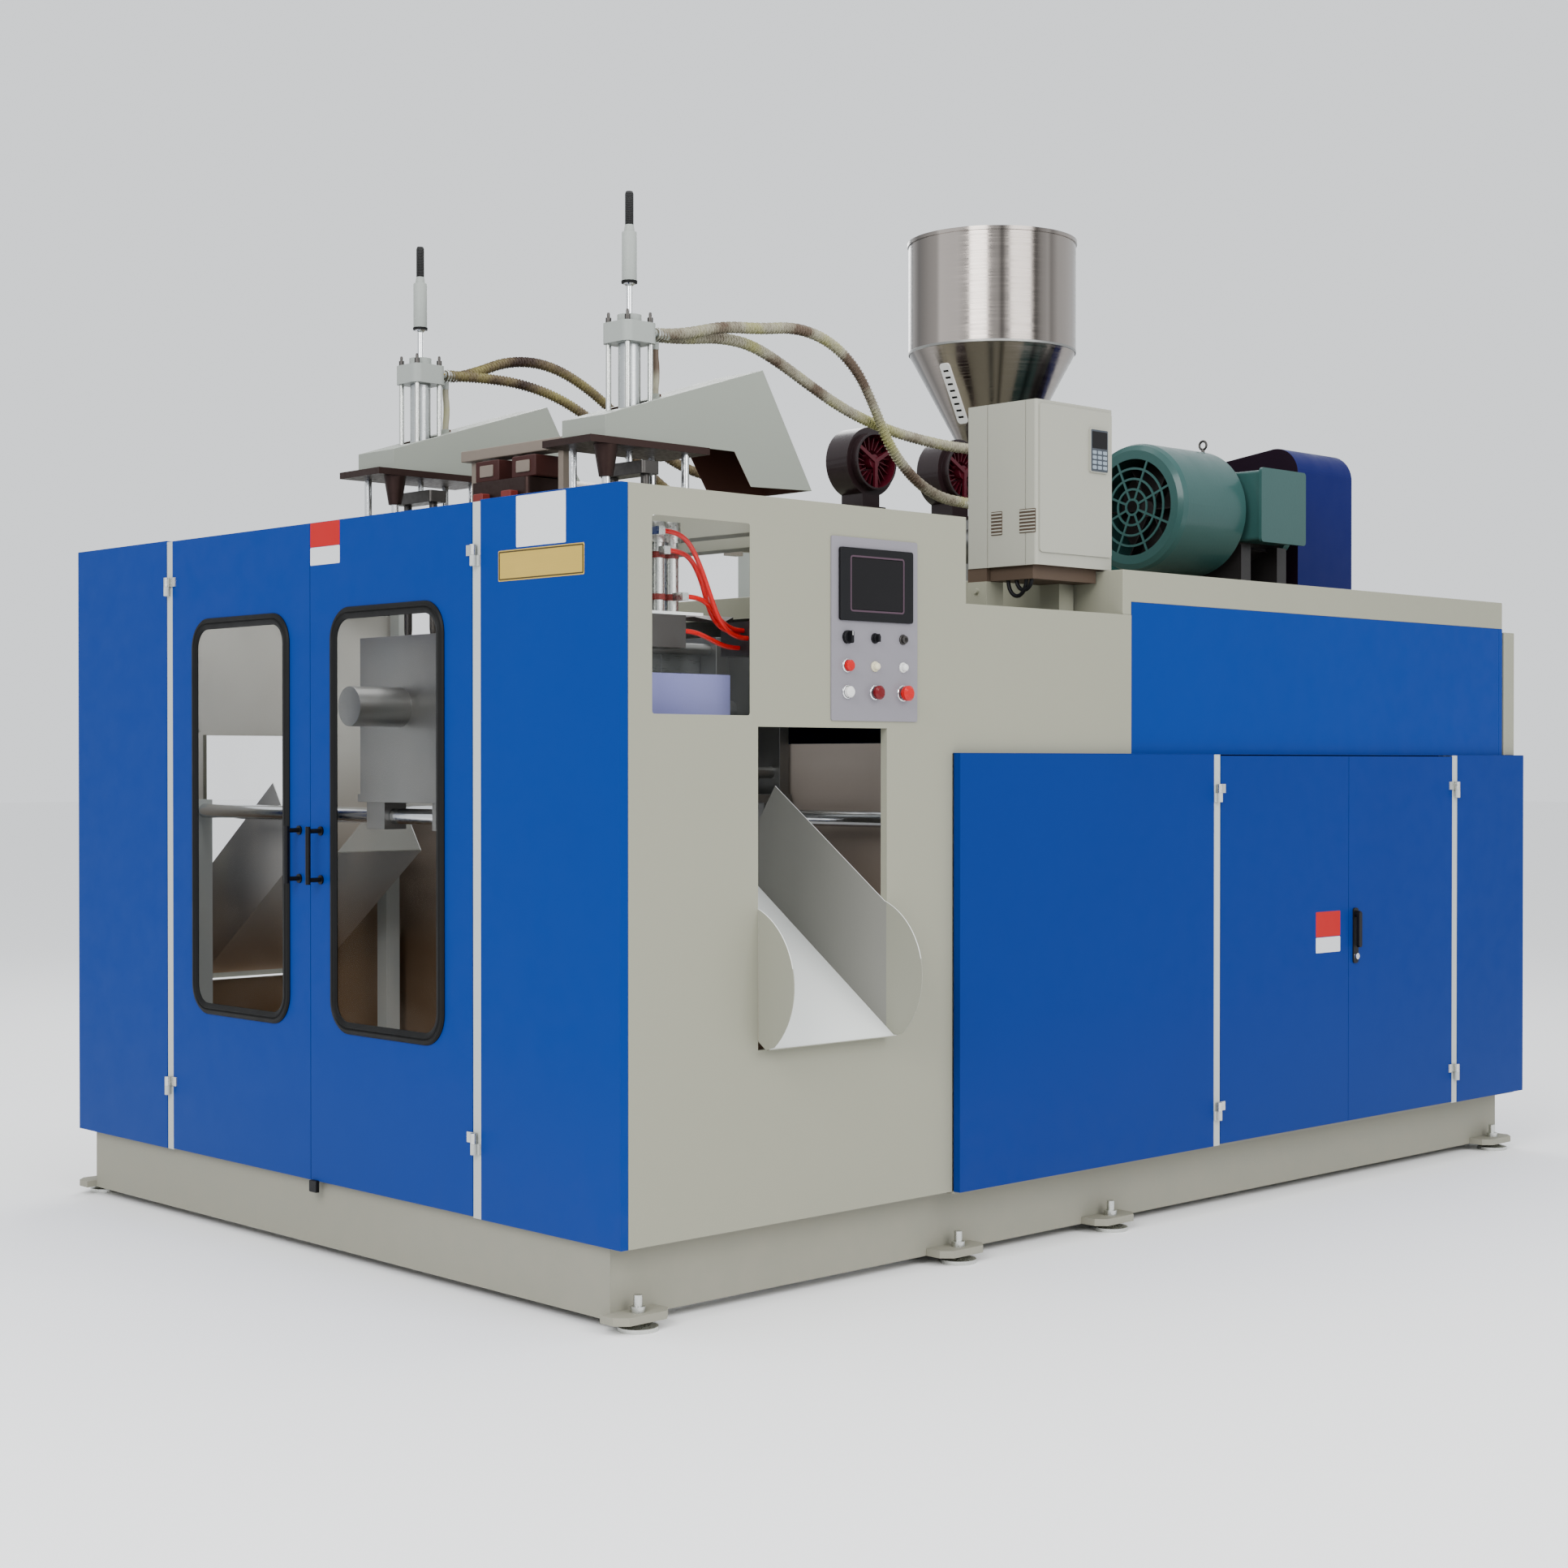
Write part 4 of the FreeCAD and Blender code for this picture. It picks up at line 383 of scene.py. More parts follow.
paint("keyPale", (0.200, 0.240, 0.280), 0.45, 0.2, 0.0, 0.2, 900.0)
paint("screenDark", (0.002, 0.0015, 0.002), 0.14, 0.3, 0.0, 0.02, 300.0, coat=0.15)
paint("screenLine", (0.060, 0.035, 0.050), 0.35, 0.1, 0.0, 0.02, 300.0)
paint("paperWhite", (0.56, 0.57, 0.58), 0.75, 0.12, 0.0, 0.15, 600.0)
paint("fieldRed", (0.36, 0.003, 0.004), 0.4, 0.25, 0.0, 0.06, 500.0)
paint("apronBlue", (0.170, 0.175, 0.360), 0.45, 0.3, 0.0, 0.10)
paint("redBrown", (0.150, 0.022, 0.018), 0.4, 0.3, 0.0, 0.10)
paint("hoseRed", (0.46, 0.001, 0.001), 0.2, 0.25, 0.0, 0.04, 300.0, coat=0.35)
paint("headTan", (0.190, 0.158, 0.130), 0.55, 0.6, 0.0, 0.2, 200.0)
paint("headBrown", (0.040, 0.012, 0.010), 0.5, 0.6, 0.0, 0.3, 200.0)
paint("controlSteel", (0.215, 0.205, 0.228), 0.42, 0.3, 0.0, 0.1, 500.0, metallic=0.25)
# Painted shade inside the bay and on the chutes' undersides, darker low down: lower and upper colour, and the
# heights between which one turns into the other
gradedPaint("insideWarm", (0.200, 0.125, 0.070), (0.560, 0.550, 0.500), 0.85, 1.55)
gradedPaint("insideGrey", (0.140, 0.088, 0.052), (0.320, 0.280, 0.245), 0.80, 1.50)
gradedPaint("chuteShade", (0.270, 0.165, 0.090), (0.330, 0.325, 0.310), 0.75, 1.10)
wrappedHose("hoseTan", (0.120, 0.085, 0.060), (0.330, 0.310, 0.230), (0.330, 0.320, 0.130))
wrappedHose("hoseBrown", (0.035, 0.020, 0.014), (0.120, 0.090, 0.050), (0.230, 0.200, 0.070))
# Colour, roughness, density of the lines along each axis, their depth, and stain
metal("steelPlate", (0.26, 0.26, 0.25), 0.40, (60.0, 60.0, 500.0), 0.2, 0.45)
metal("steelBright", (0.66, 0.67, 0.68), 0.16, (90.0, 90.0, 90.0), 0.04, 0.12)
metal("frameDark", (0.046, 0.029, 0.026), 0.46, (80.0, 80.0, 80.0), 0.2, 0.5)
metal("steelDark", (0.075, 0.070, 0.066), 0.42, (80.0, 80.0, 80.0), 0.2, 0.5)
metal("bandSteel", (0.34, 0.30, 0.25), 0.34, (200.0, 20.0, 200.0), 0.12, 0.6)
metal("zincPlate", (0.60, 0.61, 0.58), 0.3, (140.0, 140.0, 140.0), 0.1, 0.4)
metal("castIron", (0.12, 0.12, 0.12), 0.5, (160.0, 160.0, 160.0), 0.4, 0.4)
metal("aluminium", (0.46, 0.48, 0.48), 0.32, (20.0, 20.0, 600.0), 0.12, 0.35)
metal("brassPlate", (0.74, 0.52, 0.12), 0.38, (8.0, 10.0, 600.0), 0.12, 0.3)
metal("brassDark", (0.10, 0.075, 0.035), 0.45, (40.0, 40.0, 40.0), 0.12, 0.3)
hopperSheet("polishedSheet")
windowGlass("doorPane", (0.17, 0.130, 0.092))
windowGlass("sidePane", (0.20, 0.21, 0.21))
thread("threadDark", (0.02, 0.02, 0.02), 0.004)

# CAD pieces that take one look each
finishes = {
    "panelBlue": ["front_panels", "upper_panels"],
    "cabinetBlue": ["lower_panels"],
    "creamPaint": ["cross_beams", "rear_deck"],
    "postPaint": ["enclosure_posts"],
    "basePaint": ["base_frame"],
    "motorTeal": ["motor_cowl", "terminal_box"],
    "gearTeal": ["gearbox"],
    "blackPlastic": [
        "left_door_handle", "right_door_handle", "cabinet_lever", "mode_selector", "touch_screen",
    ],
    "rubber": ["drive_belts"],
    "redPlastic": ["e_stop_button", "red_button"],
    "darkRed": ["mushroom_button"],
    "whitePlastic": ["white_button"],
    "steelPlate": ["barrel", "motor_rails", "left_carriage", "right_carriage"],
    "frameDark": ["die_head"],
    "steelBright": ["guide_rails", "screw"],
    "bandSteel": ["heater_bands"],
    "zincPlate": ["levelling_feet"],
    "castIron": ["input_pulley"],
    "controlSteel": ["control_plate"],
    "polishedSheet": ["hopper"],
    "sidePane": ["side_windows"],
}
edgeWidths = {
    0.002: [
        "front_panels", "upper_panels", "lower_panels", "left_carriage", "right_carriage", "cabinet_lever",
        "touch_screen", "enclosure_posts",
    ],
    0.003: ["base_frame", "die_head", "terminal_box", "cross_beams"],
    0.004: ["gearbox"],
    0.006: ["rear_deck"],
}


def softenEdges(thing, width):
    # Welds the imported faces together, so that every sharp edge gets a small round that catches the light.
    weld = thing.modifiers.new("weld", "WELD")
    weld.merge_threshold = 0.00002
    planar = thing.modifiers.new("planar", "DECIMATE")
    planar.decimate_type = "DISSOLVE"
    planar.angle_limit = math.radians(0.6)
    planar.delimit = {"MATERIAL"}
    bevel = thing.modifiers.new("bevel", "BEVEL")
    bevel.width = width
    bevel.segments = 2
    bevel.limit_method = "ANGLE"
    bevel.angle_limit = math.radians(40)
    bevel.use_clamp_overlap = True
    flat = thing.modifiers.new("flat", "WEIGHTED_NORMAL")
    flat.keep_sharp = True
    flat.weight = 80


def finishNodes():
    for look, names in finishes.items():
        for name in names:
            nodes[name].data.materials.clear()
            nodes[name].data.materials.append(looks[look])
    for width, names in edgeWidths.items():
        for name in names:
            softenEdges(nodes[name], width)


finishNodes()
print("materials done")


# Mesh helpers
def addPiece(name, mesh, look, body, smoothAngle=35.0):
    thing = bpy.data.objects.new(name, mesh)
    scene.collection.objects.link(thing)
    if look:
        mesh.materials.append(looks[look])
    mesh.shade_smooth()
    mesh.set_sharp_from_angle(angle=math.radians(smoothAngle))
    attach(thing, body)
    return thing


def meshOf(bm, name):
    bmesh.ops.recalc_face_normals(bm, faces=bm.faces)
    mesh = bpy.data.meshes.new(name)
    bm.to_mesh(mesh)
    bm.free()
    return mesh


def facing(normal):
    return Vector(normal).to_track_quat("Z", "Y").to_matrix().to_4x4()


def roundedOutline(width, height, radius, steps=5):
    points = []
    for sx, sy, start in [(1, 1, 0), (-1, 1, 90), (-1, -1, 180), (1, -1, 270)]:
        for k in range(steps + 1):
            angle = math.radians(start + 90 * k / steps)
            x = sx * (width / 2 - radius) + radius * math.cos(angle)
            y = sy * (height / 2 - radius) + radius * math.sin(angle)
            points.append((x, y))
    return points


def stitch(bm, rings, around=False):
    # Faces between each ring of points and the next, and from the last to the first when it goes around.
    for lower, upper in zip(rings, rings[1:] + rings[:1] if around else rings[1:]):
        for k in range(len(lower)):
            j = (k + 1) % len(lower)
            bm.faces.new([lower[k], lower[j], upper[j], upper[k]])


def closeEnds(bm, rings):
    bm.faces.new(rings[0][::-1])
    bm.faces.new(rings[-1])


def addPlate(bm, place, normal, width, height, thick, radius, edge):
    # A flat plate with round corners and a small chamfer, its back on place and its face along normal.
    basis = Matrix.Translation(place) @ facing(normal)
    layers = [(0.0, 0.0), (thick - edge, 0.0), (thick, edge)]
    rings = []
    for level, inset in layers:
        outline = roundedOutline(width - 2 * inset, height - 2 * inset, max(radius - inset, 0.0001))
        rings.append([bm.verts.new(basis @ Vector((x, y, level))) for x, y in outline])
    stitch(bm, rings)
    closeEnds(bm, rings)


def plates(name, places, normal, size, look, body, edge=0.0006):
    # Equal plates as one piece: size is (width, height, thickness, corner radius).
    bm = bmesh.new()
    for place in places:
        addPlate(bm, place, normal, *size, edge)
    return addPiece(name, meshOf(bm, name), look, body)


def addTurned(bm, profile, place, axis, segments, hollow=False):
    # A lathe-turned solid from (radius, height) pairs, closed at both ends, or a ring when hollow.
    basis = Matrix.Translation(place) @ facing(axis)
    rings = []
    for radius, height in profile:
        if radius < 0.00001:
            rings.append([bm.verts.new(basis @ Vector((0, 0, height)))])
            continue
        ring = []
        for k in range(segments):
            angle = 2 * math.pi * k / segments
            offset = Vector((radius * math.cos(angle), radius * math.sin(angle), height))
            ring.append(bm.verts.new(basis @ offset))
        rings.append(ring)
    pairs = zip(rings, rings[1:] + rings[:1] if hollow else rings[1:])
    for lower, upper in pairs:
        for k in range(segments):
            j = (k + 1) % segments
            corners = [lower[k % len(lower)], lower[j % len(lower)]]
            corners += [upper[j % len(upper)], upper[k % len(upper)]]
            unique = list(dict.fromkeys(corners))
            if len(unique) > 2:
                bm.faces.new(unique)
    for ring in () if hollow else (rings[0], rings[-1]):
        if len(ring) > 2:
            bm.faces.new(ring)


def turned(name, profile, places, axis, look, body, segments=32, hollow=False):
    # Equal lathe-turned forms as one piece.
    bm = bmesh.new()
    for place in places:
        addTurned(bm, profile, place, axis, segments, hollow)
    return addPiece(name, meshOf(bm, name), look, body)


def addTube(bm, points, radius, segments):
    # A tube along a list of points, with flat ends.
    side = None
    rings = []
    for k, point in enumerate(points):
        before = points[max(k - 1, 0)]
        after = points[min(k + 1, len(points) - 1)]
        along = (after - before).normalized()
        if side is None:
            side = along.orthogonal().normalized()
        side = (side - along * side.dot(along)).normalized()
        other = along.cross(side)
        ring = []
        for j in range(segments):
            angle = 2 * math.pi * j / segments
            around = math.cos(angle) * side + math.sin(angle) * other
            ring.append(bm.verts.new(point + radius * around))
        rings.append(ring)
    stitch(bm, rings)
    closeEnds(bm, rings)


def islands(node):
    # The separate solids of a CAD node, each as a list of its points.
    bm = bmesh.new()
    bm.from_mesh(nodes[node].data)
    bmesh.ops.remove_doubles(bm, verts=bm.verts, dist=0.000002)
    bm.verts.ensure_lookup_table()
    seen = set()
    groups = []
    for start in bm.verts:
        if start.index in seen:
            continue
        stack = [start]
        seen.add(start.index)
        group = []
        while stack:
            vert = stack.pop()
            group.append(vert)
            for edge in vert.link_edges:
                other = edge.other_vert(vert)
                if other.index not in seen:
                    seen.add(other.index)
                    stack.append(other)
        groups.append(group)
    return bm, groups


def splitNode(node, naming, body):
    # Stands pieces in for a CAD node: naming gives each solid a piece name and a look from its box.
    bm, groups = islands(node)
    bins = {}
    for group in groups:
        low = Vector([min(v.co[k] for v in group) for k in range(3)])
        high = Vector([max(v.co[k] for v in group) for k in range(3)])
        bins.setdefault(naming(low, high), []).extend(group)
    made = {}
    for (name, look), group in bins.items():
        part = bmesh.new()
        table = {v: part.verts.new(v.co) for v in group}
        # Small faces first: on thin sheets the shading of the rounded edges depends on this order.
        faces = dict.fromkeys(f for v in group for f in v.link_faces)
        for face in sorted(faces, key=lambda f: f.calc_area()):
            part.faces.new([table[v] for v in face.verts])
        piece = addPiece(name, meshOf(part, name), look, body, smoothAngle=32.0)
        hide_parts(node)
        made[name] = piece
    bm.free()
    return made


def frameRing(name, place, normal, width, height, radius, section, look, body, slot):
    # A frame swept round a rounded rectangle: section lists (outward, forward) points.
    bm = bmesh.new()
    basis = Matrix.Translation(place) @ facing(normal)
    rings = []
    for outward, forward in section:
        outline = roundedOutline(width + 2 * outward, height + 2 * outward, radius + outward, 9)
        rings.append([bm.verts.new(basis @ Vector((x, y, forward))) for x, y in outline])
    stitch(bm, rings, True)
    return addPiece(name, meshOf(bm, name), look, body)


def addPrism(bm, outline, start, along):
    # A straight prism from an outline of points, pushed out by the vector along.
    low = [bm.verts.new(Vector(start) + Vector(p)) for p in outline]
    high = [bm.verts.new(Vector(start) + Vector(p) + Vector(along)) for p in outline]
    stitch(bm, [low, high])
    closeEnds(bm, [low, high])


def many(name, look, body, build):
    bm = bmesh.new()
    build(bm)
    return addPiece(name, meshOf(bm, name), look, body)


def dress(node, name, lookList, pick, body, edge, cuts=()):
    # Stands a copy in for a CAD node: pick gives each face its look from its place in the front frame.
    bm = bmesh.new()
    bm.from_mesh(nodes[node].data)
    bmesh.ops.remove_doubles(bm, verts=bm.verts, dist=0.000002)
    for place, normal in cuts:
        everything = bm.verts[:] + bm.edges[:] + bm.faces[:]
        bmesh.ops.bisect_plane(bm, geom=everything, plane_co=at(*place), plane_no=normal, dist=0.000001)
    for face in bm.faces:
        face.material_index = lookList.index(pick(front(face.calc_center_median()), face.normal))
    mesh = bpy.data.meshes.new(name)
    bm.to_mesh(mesh)
    bm.free()
    for look in lookList:
        mesh.materials.append(looks[look])
    piece = addPiece(name, mesh, None, body)
    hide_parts(node)
    softenEdges(piece, edge)


# Geometry Nodes
def endTree(tree, source, sink, geometry):
    # Both trees end in real geometry with the finish on it.
    real = addNode(tree, "GeometryNodeRealizeInstances", {"Geometry": geometry}).outputs[0]
    inputs = {"Geometry": real, "Material": source.outputs["Finish"]}
    feed(tree, sink, {0: addNode(tree, "GeometryNodeSetMaterial", inputs).outputs[0]})
    return tree


def buildScatter():
    # One prototype placed on every point, facing its normal and turned at random.
    inputs = [
        ("Points", "NodeSocketGeometry", None),
        ("Head", "NodeSocketObject", None),
        ("Seed", "NodeSocketInt", 7),
        ("Turn", "NodeSocketFloat", 6.28),
        ("Finish", "NodeSocketMaterial", None),
    ]
    outputs = [("Geometry", "NodeSocketGeometry")]
    tree, source, sink = newGroup("scatterHeads", "GeometryNodeTree", inputs, outputs)
    attribute = "GeometryNodeInputNamedAttribute"
    normal = addNode(tree, attribute, {"Name": "facing"}, data_type="FLOAT_VECTOR").outputs[0]
    size = addNode(tree, attribute, {"Name": "size"}, data_type="FLOAT").outputs[0]
    align = addNode(tree, "FunctionNodeAlignRotationToVector", {"Vector": normal}, axis="Z").outputs[0]
    limits = {"Seed": source.outputs["Seed"], 3: source.outputs["Turn"]}
    chance = addNode(tree, "FunctionNodeRandomValue", limits, data_type="FLOAT").outputs[1]
    about = {"Axis": (0.0, 0.0, 1.0), "Angle": chance}
    spin = addNode(tree, "FunctionNodeAxisAngleToRotation", about).outputs[0]
    turn = addNode(tree, "FunctionNodeRotateRotation", {0: align, 1: spin}, rotation_space="LOCAL").outputs[0]
    head = addNode(tree, "GeometryNodeObjectInfo", {"Object": source.outputs["Head"]}).outputs["Geometry"]
    inputs = {"Points": source.outputs["Points"], "Instance": head, "Rotation": turn, "Scale": size}
    placed = addNode(tree, "GeometryNodeInstanceOnPoints", inputs).outputs[0]
    return endTree(tree, source, sink, placed)


def buildWinding():
    # A profile swept along a route and twisted, so that its ridge winds round the hose.
    inputs = [
        ("Route", "NodeSocketGeometry", None),
        ("Profile", "NodeSocketObject", None),
        ("Step", "NodeSocketFloat", 0.0022),
        ("Twist", "NodeSocketFloat", 0.6),
        ("Finish", "NodeSocketMaterial", None),
    ]
    outputs = [("Geometry", "NodeSocketGeometry")]
    tree, source, sink = newGroup("woundProfile", "GeometryNodeTree", inputs, outputs)
    line = addNode(tree, "GeometryNodeMeshToCurve", {"Mesh": source.outputs["Route"]}).outputs[0]
    step = {"Curve": line, "Length": source.outputs["Step"]}
    even = addNode(tree, "GeometryNodeResampleCurve", step, mode="LENGTH").outputs[0]
    index = addNode(tree, "GeometryNodeInputIndex").outputs[0]
    tilt = maths(tree, "MULTIPLY", index, source.outputs["Twist"])
    twisted = addNode(tree, "GeometryNodeSetCurveTilt", {"Curve": even, "Tilt": tilt}).outputs[0]
    shape = addNode(tree, "GeometryNodeObjectInfo", {"Object": source.outputs["Profile"]}).outputs["Geometry"]
    edge = addNode(tree, "GeometryNodeMeshToCurve", {"Mesh": shape}).outputs[0]
    inputs = {"Curve": twisted, "Profile Curve": edge, "Fill Caps": True}
    return endTree(tree, source, sink, addNode(tree, "GeometryNodeCurveToMesh", inputs).outputs[0])


scatterTree = buildScatter()
windingTree = buildWinding()


def plainMesh(thing):
    bpy.context.view_layer.update()
    return bpy.data.meshes.new_from_object(thing.evaluated_get(bpy.context.evaluated_depsgraph_get()))


def runTree(tree, mesh, values):
    # Runs a node tree on a mesh and keeps the plain result.
    carrier = bpy.data.objects.new("carrier", mesh)
    scene.collection.objects.link(carrier)
    modifier = carrier.modifiers.new("tree", "NODES")
    modifier.node_group = tree
    for item in tree.interface.items_tree:
        if item.in_out == "INPUT" and item.name in values:
            modifier[item.identifier] = values[item.name]
    result = plainMesh(carrier)
    carrier.modifiers.clear()
    bpy.data.objects.remove(carrier)
    return result


def prototype(name, build):
    bm = bmesh.new()
    build(bm)
    return bpy.data.objects.new(name, meshOf(bm, name))


def hexHead(bm):
    washer = [(0.0, 0.0), (1.0, 0.0), (1.0, 0.14), (0.0, 0.14)]
    head = [(0.0, 0.14), (0.8, 0.14), (0.8, 0.62), (0.68, 0.72), (0.0, 0.72)]
    addTurned(bm, washer, Vector(), toward["up"], 18)
    addTurned(bm, head, Vector(), toward["up"], 6)


def panHead(bm):
    profile = [(1.0, 0.0), (1.0, 0.12), (0.86, 0.38), (0.52, 0.52), (0.2, 0.52), (0.12, 0.3), (0.0, 0.3)]
    addTurned(bm, profile, Vector(), toward["up"], 14)


def socketHead(bm):
    profile = [(1.0, 0.0), (1.0, 0.85), (0.9, 0.98), (0.5, 0.98), (0.46, 0.45), (0.0, 0.42)]
    addTurned(bm, profile, Vector(), toward["up"], 12)


heads = {
    "hex": prototype("hexHead", hexHead),
    "pan": prototype("panHead", panHead),
    "socket": prototype("socketHead", socketHead),
}
headTurns = {"Seed": 11, "Turn": 6.28}


def scatter(name, spots, head, look, body=root):
    # spots are (place, normal, size).
    mesh = bpy.data.meshes.new(name)
    mesh.from_pydata([tuple(place) for place, normal, size in spots], [], [])
    normals = mesh.attributes.new("facing", "FLOAT_VECTOR", "POINT")
    sizes = mesh.attributes.new("size", "FLOAT", "POINT")
    for k, (place, normal, size) in enumerate(spots):
        normals.data[k].vector = normal
        sizes.data[k].value = size
    result = runTree(scatterTree, mesh, {"Head": heads[head], **headTurns, "Finish": looks[look]})
    result.name = name
    return addPiece(name, result, None, body)


def spread(count):
    return [k / (count - 1) - 0.5 if count > 1 else 0.0 for k in range(count)]


def grid(centre, u, v, countU, countV):
    # Points spread evenly over a rectangle spanned by u and v about centre.
    return [Vector(centre) + a * Vector(u) + b * Vector(v) for a in spread(countU) for b in spread(countV)]


def circle(centre, axis, radius, count, start=0.0):
    basis = facing(axis)
    angles = [2 * math.pi * (k + start) / count for k in range(count)]
    return [Vector(centre) + basis @ Vector((radius * math.cos(a), radius * math.sin(a), 0)) for a in angles]


print("tools done")

# Hoses: the control points are those of the CAD routes
hoseValues = {
    "blowRadius": 0.014,
    "dropRadius": 0.011,
    "airRadius": 0.007,
    "blowStart": 0.890,
    "blowEnd": 2.370,
    "wrapRadius": 0.0155,
    "wrapLift": 0.0038,
    "wrapStep": 0.0022,
    "wrapTwist": 1.15,
    "ferruleLength": 0.055,
    "dropLine": 0.905,
}

blowRoutes = {
    "rightOuterHose": [
        (0.578, 0.930, 2.842), (0.578, 1.040, 2.862), (0.577, 1.180, 2.900), (0.576, 1.340, 2.912),
        (0.576, 1.500, 2.938), (0.582, 1.650, 2.912), (0.592, 1.770, 2.830), (0.600, 1.846, 2.708),
        (0.602, 1.926, 2.570), (0.596, 2.050, 2.475), (0.582, 2.190, 2.428), (0.576, 2.330, 2.420),
    ],
    "rightInnerHose": [
        (0.538, 0.930, 2.842), (0.538, 1.050, 2.850), (0.536, 1.190, 2.872), (0.534, 1.330, 2.868),
        (0.532, 1.470, 2.822), (0.534, 1.620, 2.755), (0.540, 1.780, 2.690), (0.562, 1.960, 2.640),
        (0.606, 2.160, 2.608), (0.640, 2.330, 2.600),
    ],
    "leftOuterHose": [
        (-0.578, 0.950, 2.842), (-0.577, 1.050, 2.872), (-0.572, 1.190, 2.930), (-0.564, 1.360, 2.936),
        (-0.552, 1.530, 2.870), (-0.545, 1.690, 2.765), (-0.545, 1.850, 2.670), (-0.550, 2.010, 2.610),
        (-0.562, 2.190, 2.590), (-0.576, 2.330, 2.590),
    ],
    "leftInnerHose": [
        (-0.538, 0.930, 2.842), (-0.524, 1.040, 2.846), (-0.488, 1.180, 2.838), (-0.448, 1.330, 2.795),
        (-0.428, 1.480, 2.715), (-0.440, 1.640, 2.620), (-0.478, 1.810, 2.535), (-0.530, 1.990, 2.472),
        (-0.600, 2.180, 2.432), (-0.640, 2.330, 2.424),
    ],
}

# Red air hoses: where each lies across the machine, then its points seen from the side
airRoutes = {
    "airHoseOuter": (1.372, [
        (0.236, 2.128), (0.276, 2.128), (0.326, 2.106), (0.368, 2.044), (0.404, 1.966), (0.436, 1.898),
        (0.474, 1.862), (0.514, 1.848), (0.545, 1.848),
    ]),
    "airHoseInner": (1.336, [
        (0.286, 2.080), (0.326, 2.080), (0.370, 2.060), (0.404, 2.006), (0.424, 1.950), (0.446, 1.904),
        (0.478, 1.876), (0.514, 1.866), (0.545, 1.866),
    ]),
    "airHoseMiddle": (1.354, [
        (0.336, 1.955), (0.376, 1.955), (0.416, 1.938), (0.448, 1.904), (0.484, 1.880), (0.518, 1.870),
        (0.545, 1.870),
    ]),
    "airHoseLow": (1.336, [
        (0.340, 1.862), (0.376, 1.862), (0.424, 1.848), (0.480, 1.828), (0.516, 1.822), (0.545, 1.822),
    ]),
}


def cordCurve(name, points, radius, look):
    curve = bpy.data.curves.new(name, "CURVE")
    curve.dimensions = "3D"
    spline = curve.splines.new("NURBS")
    spline.points.add(len(points) - 1)
    for target, point in zip(spline.points, points):
        target.co = (*point, 1.0)
    spline.order_u = 3
    spline.use_endpoint_u = True
    spline.resolution_u = 10
    curve.bevel_depth = radius
    curve.bevel_resolution = 4
    curve.use_fill_caps = True
    curve.materials.append(looks[look])
    thing = bpy.data.objects.new(name, curve)
    scene.collection.objects.link(thing)
    return thing


def centreLine(points):
    # The route's own smooth line, read from the same spline without its round section.
    line = cordCurve("lineOnly", points, 0.0, "hoseTan")
    mesh = plainMesh(line)
    bpy.data.objects.remove(line)
    return mesh


def lineLength(mesh):
    ends = [[mesh.vertices[k].co for k in edge.vertices] for edge in mesh.edges]
    return sum((a - b).length for a, b in ends)


def ridgeProfile(bm):
    # Round section with one raised ridge, as the spiral guard on a hose has.
    count = 20
    ridge = {18: 0.5, 19: 1.0, 0: 1.0, 1: 1.0, 2: 0.5}
    points = []
    for k in range(count):
        angle = 2 * math.pi * k / count
        radius = hoseValues["wrapRadius"] + hoseValues["wrapLift"] * ridge.get(k, 0.0)
        points.append(bm.verts.new((radius * math.cos(angle), radius * math.sin(angle), 0)))
    for k in range(count):
        bm.edges.new((points[k], points[(k + 1) % count]))


def layHose(name, points, radius, look):
    length = lineLength(centreLine(points))
    hose = cordCurve(name, points, radius, look)
    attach(hose, root)
    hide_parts("air_hoses")


def addFerrule(bm, end, towards, radius, length):
    shape = [(0.0, 0.0), (radius + 0.003, 0.0), (radius + 0.003, 0.010), (radius + 0.0015, 0.012)]
    shape += [(radius + 0.0015, length - 0.004), (radius - 0.001, length), (0.0, length)]
    addTurned(bm, shape, Vector(end), (Vector(towards) - Vector(end)).normalized(), 20)


def makeHoses():
    values = hoseValues
    radius = values["blowRadius"]
    profile = prototype("ridgeProfile", ridgeProfile)
    for name, route in blowRoutes.items():
        first = (route[0][0], values["blowStart"], route[0][2])
        last = (route[-1][0], values["blowEnd"], route[-1][2])
        points = [tuple(at(*p)) for p in [first] + route + [last]]
        look = "hoseTan" if name.startswith("right") else "hoseBrown"
        winding = {"Profile": profile, "Step": values["wrapStep"], "Twist": values["wrapTwist"]}
        guard = runTree(windingTree, centreLine(points), {**winding, "Finish": looks[look]})
        guard.name = name + "Guard"
        guard = addPiece(name + "Guard", guard, None, root, 60.0)
        ferrules = bmesh.new()
        for end, towards in ((points[0], points[1]), (points[-1], points[-2])):
            addFerrule(ferrules, end, towards, radius, values["ferruleLength"])
        ferrules = addPiece(name + "Ferrules", meshOf(ferrules, name), "zincPlate", root)
        layHose(name, points, radius, look)
    for name, side in (("rightDropHose", 1), ("leftDropHose", -1)):
        x, y = side * stationX, values["dropLine"]
        route = [(x, y, 2.795), (x, y, 2.773), (x + 0.002, y + 0.003, 2.747), (x + 0.002, y + 0.003, 2.702)]
        route += [(x, y, 2.676), (x, y, 2.656)]
        layHose(name, [tuple(at(*p)) for p in route], values["dropRadius"], "hoseTan")
    for name, (x, sidePoints) in airRoutes.items():
        points = [tuple(at(x, y, z)) for y, z in sidePoints]
        layHose(name, points, values["airRadius"], "hoseRed")


makeHoses()
print("hoses done")

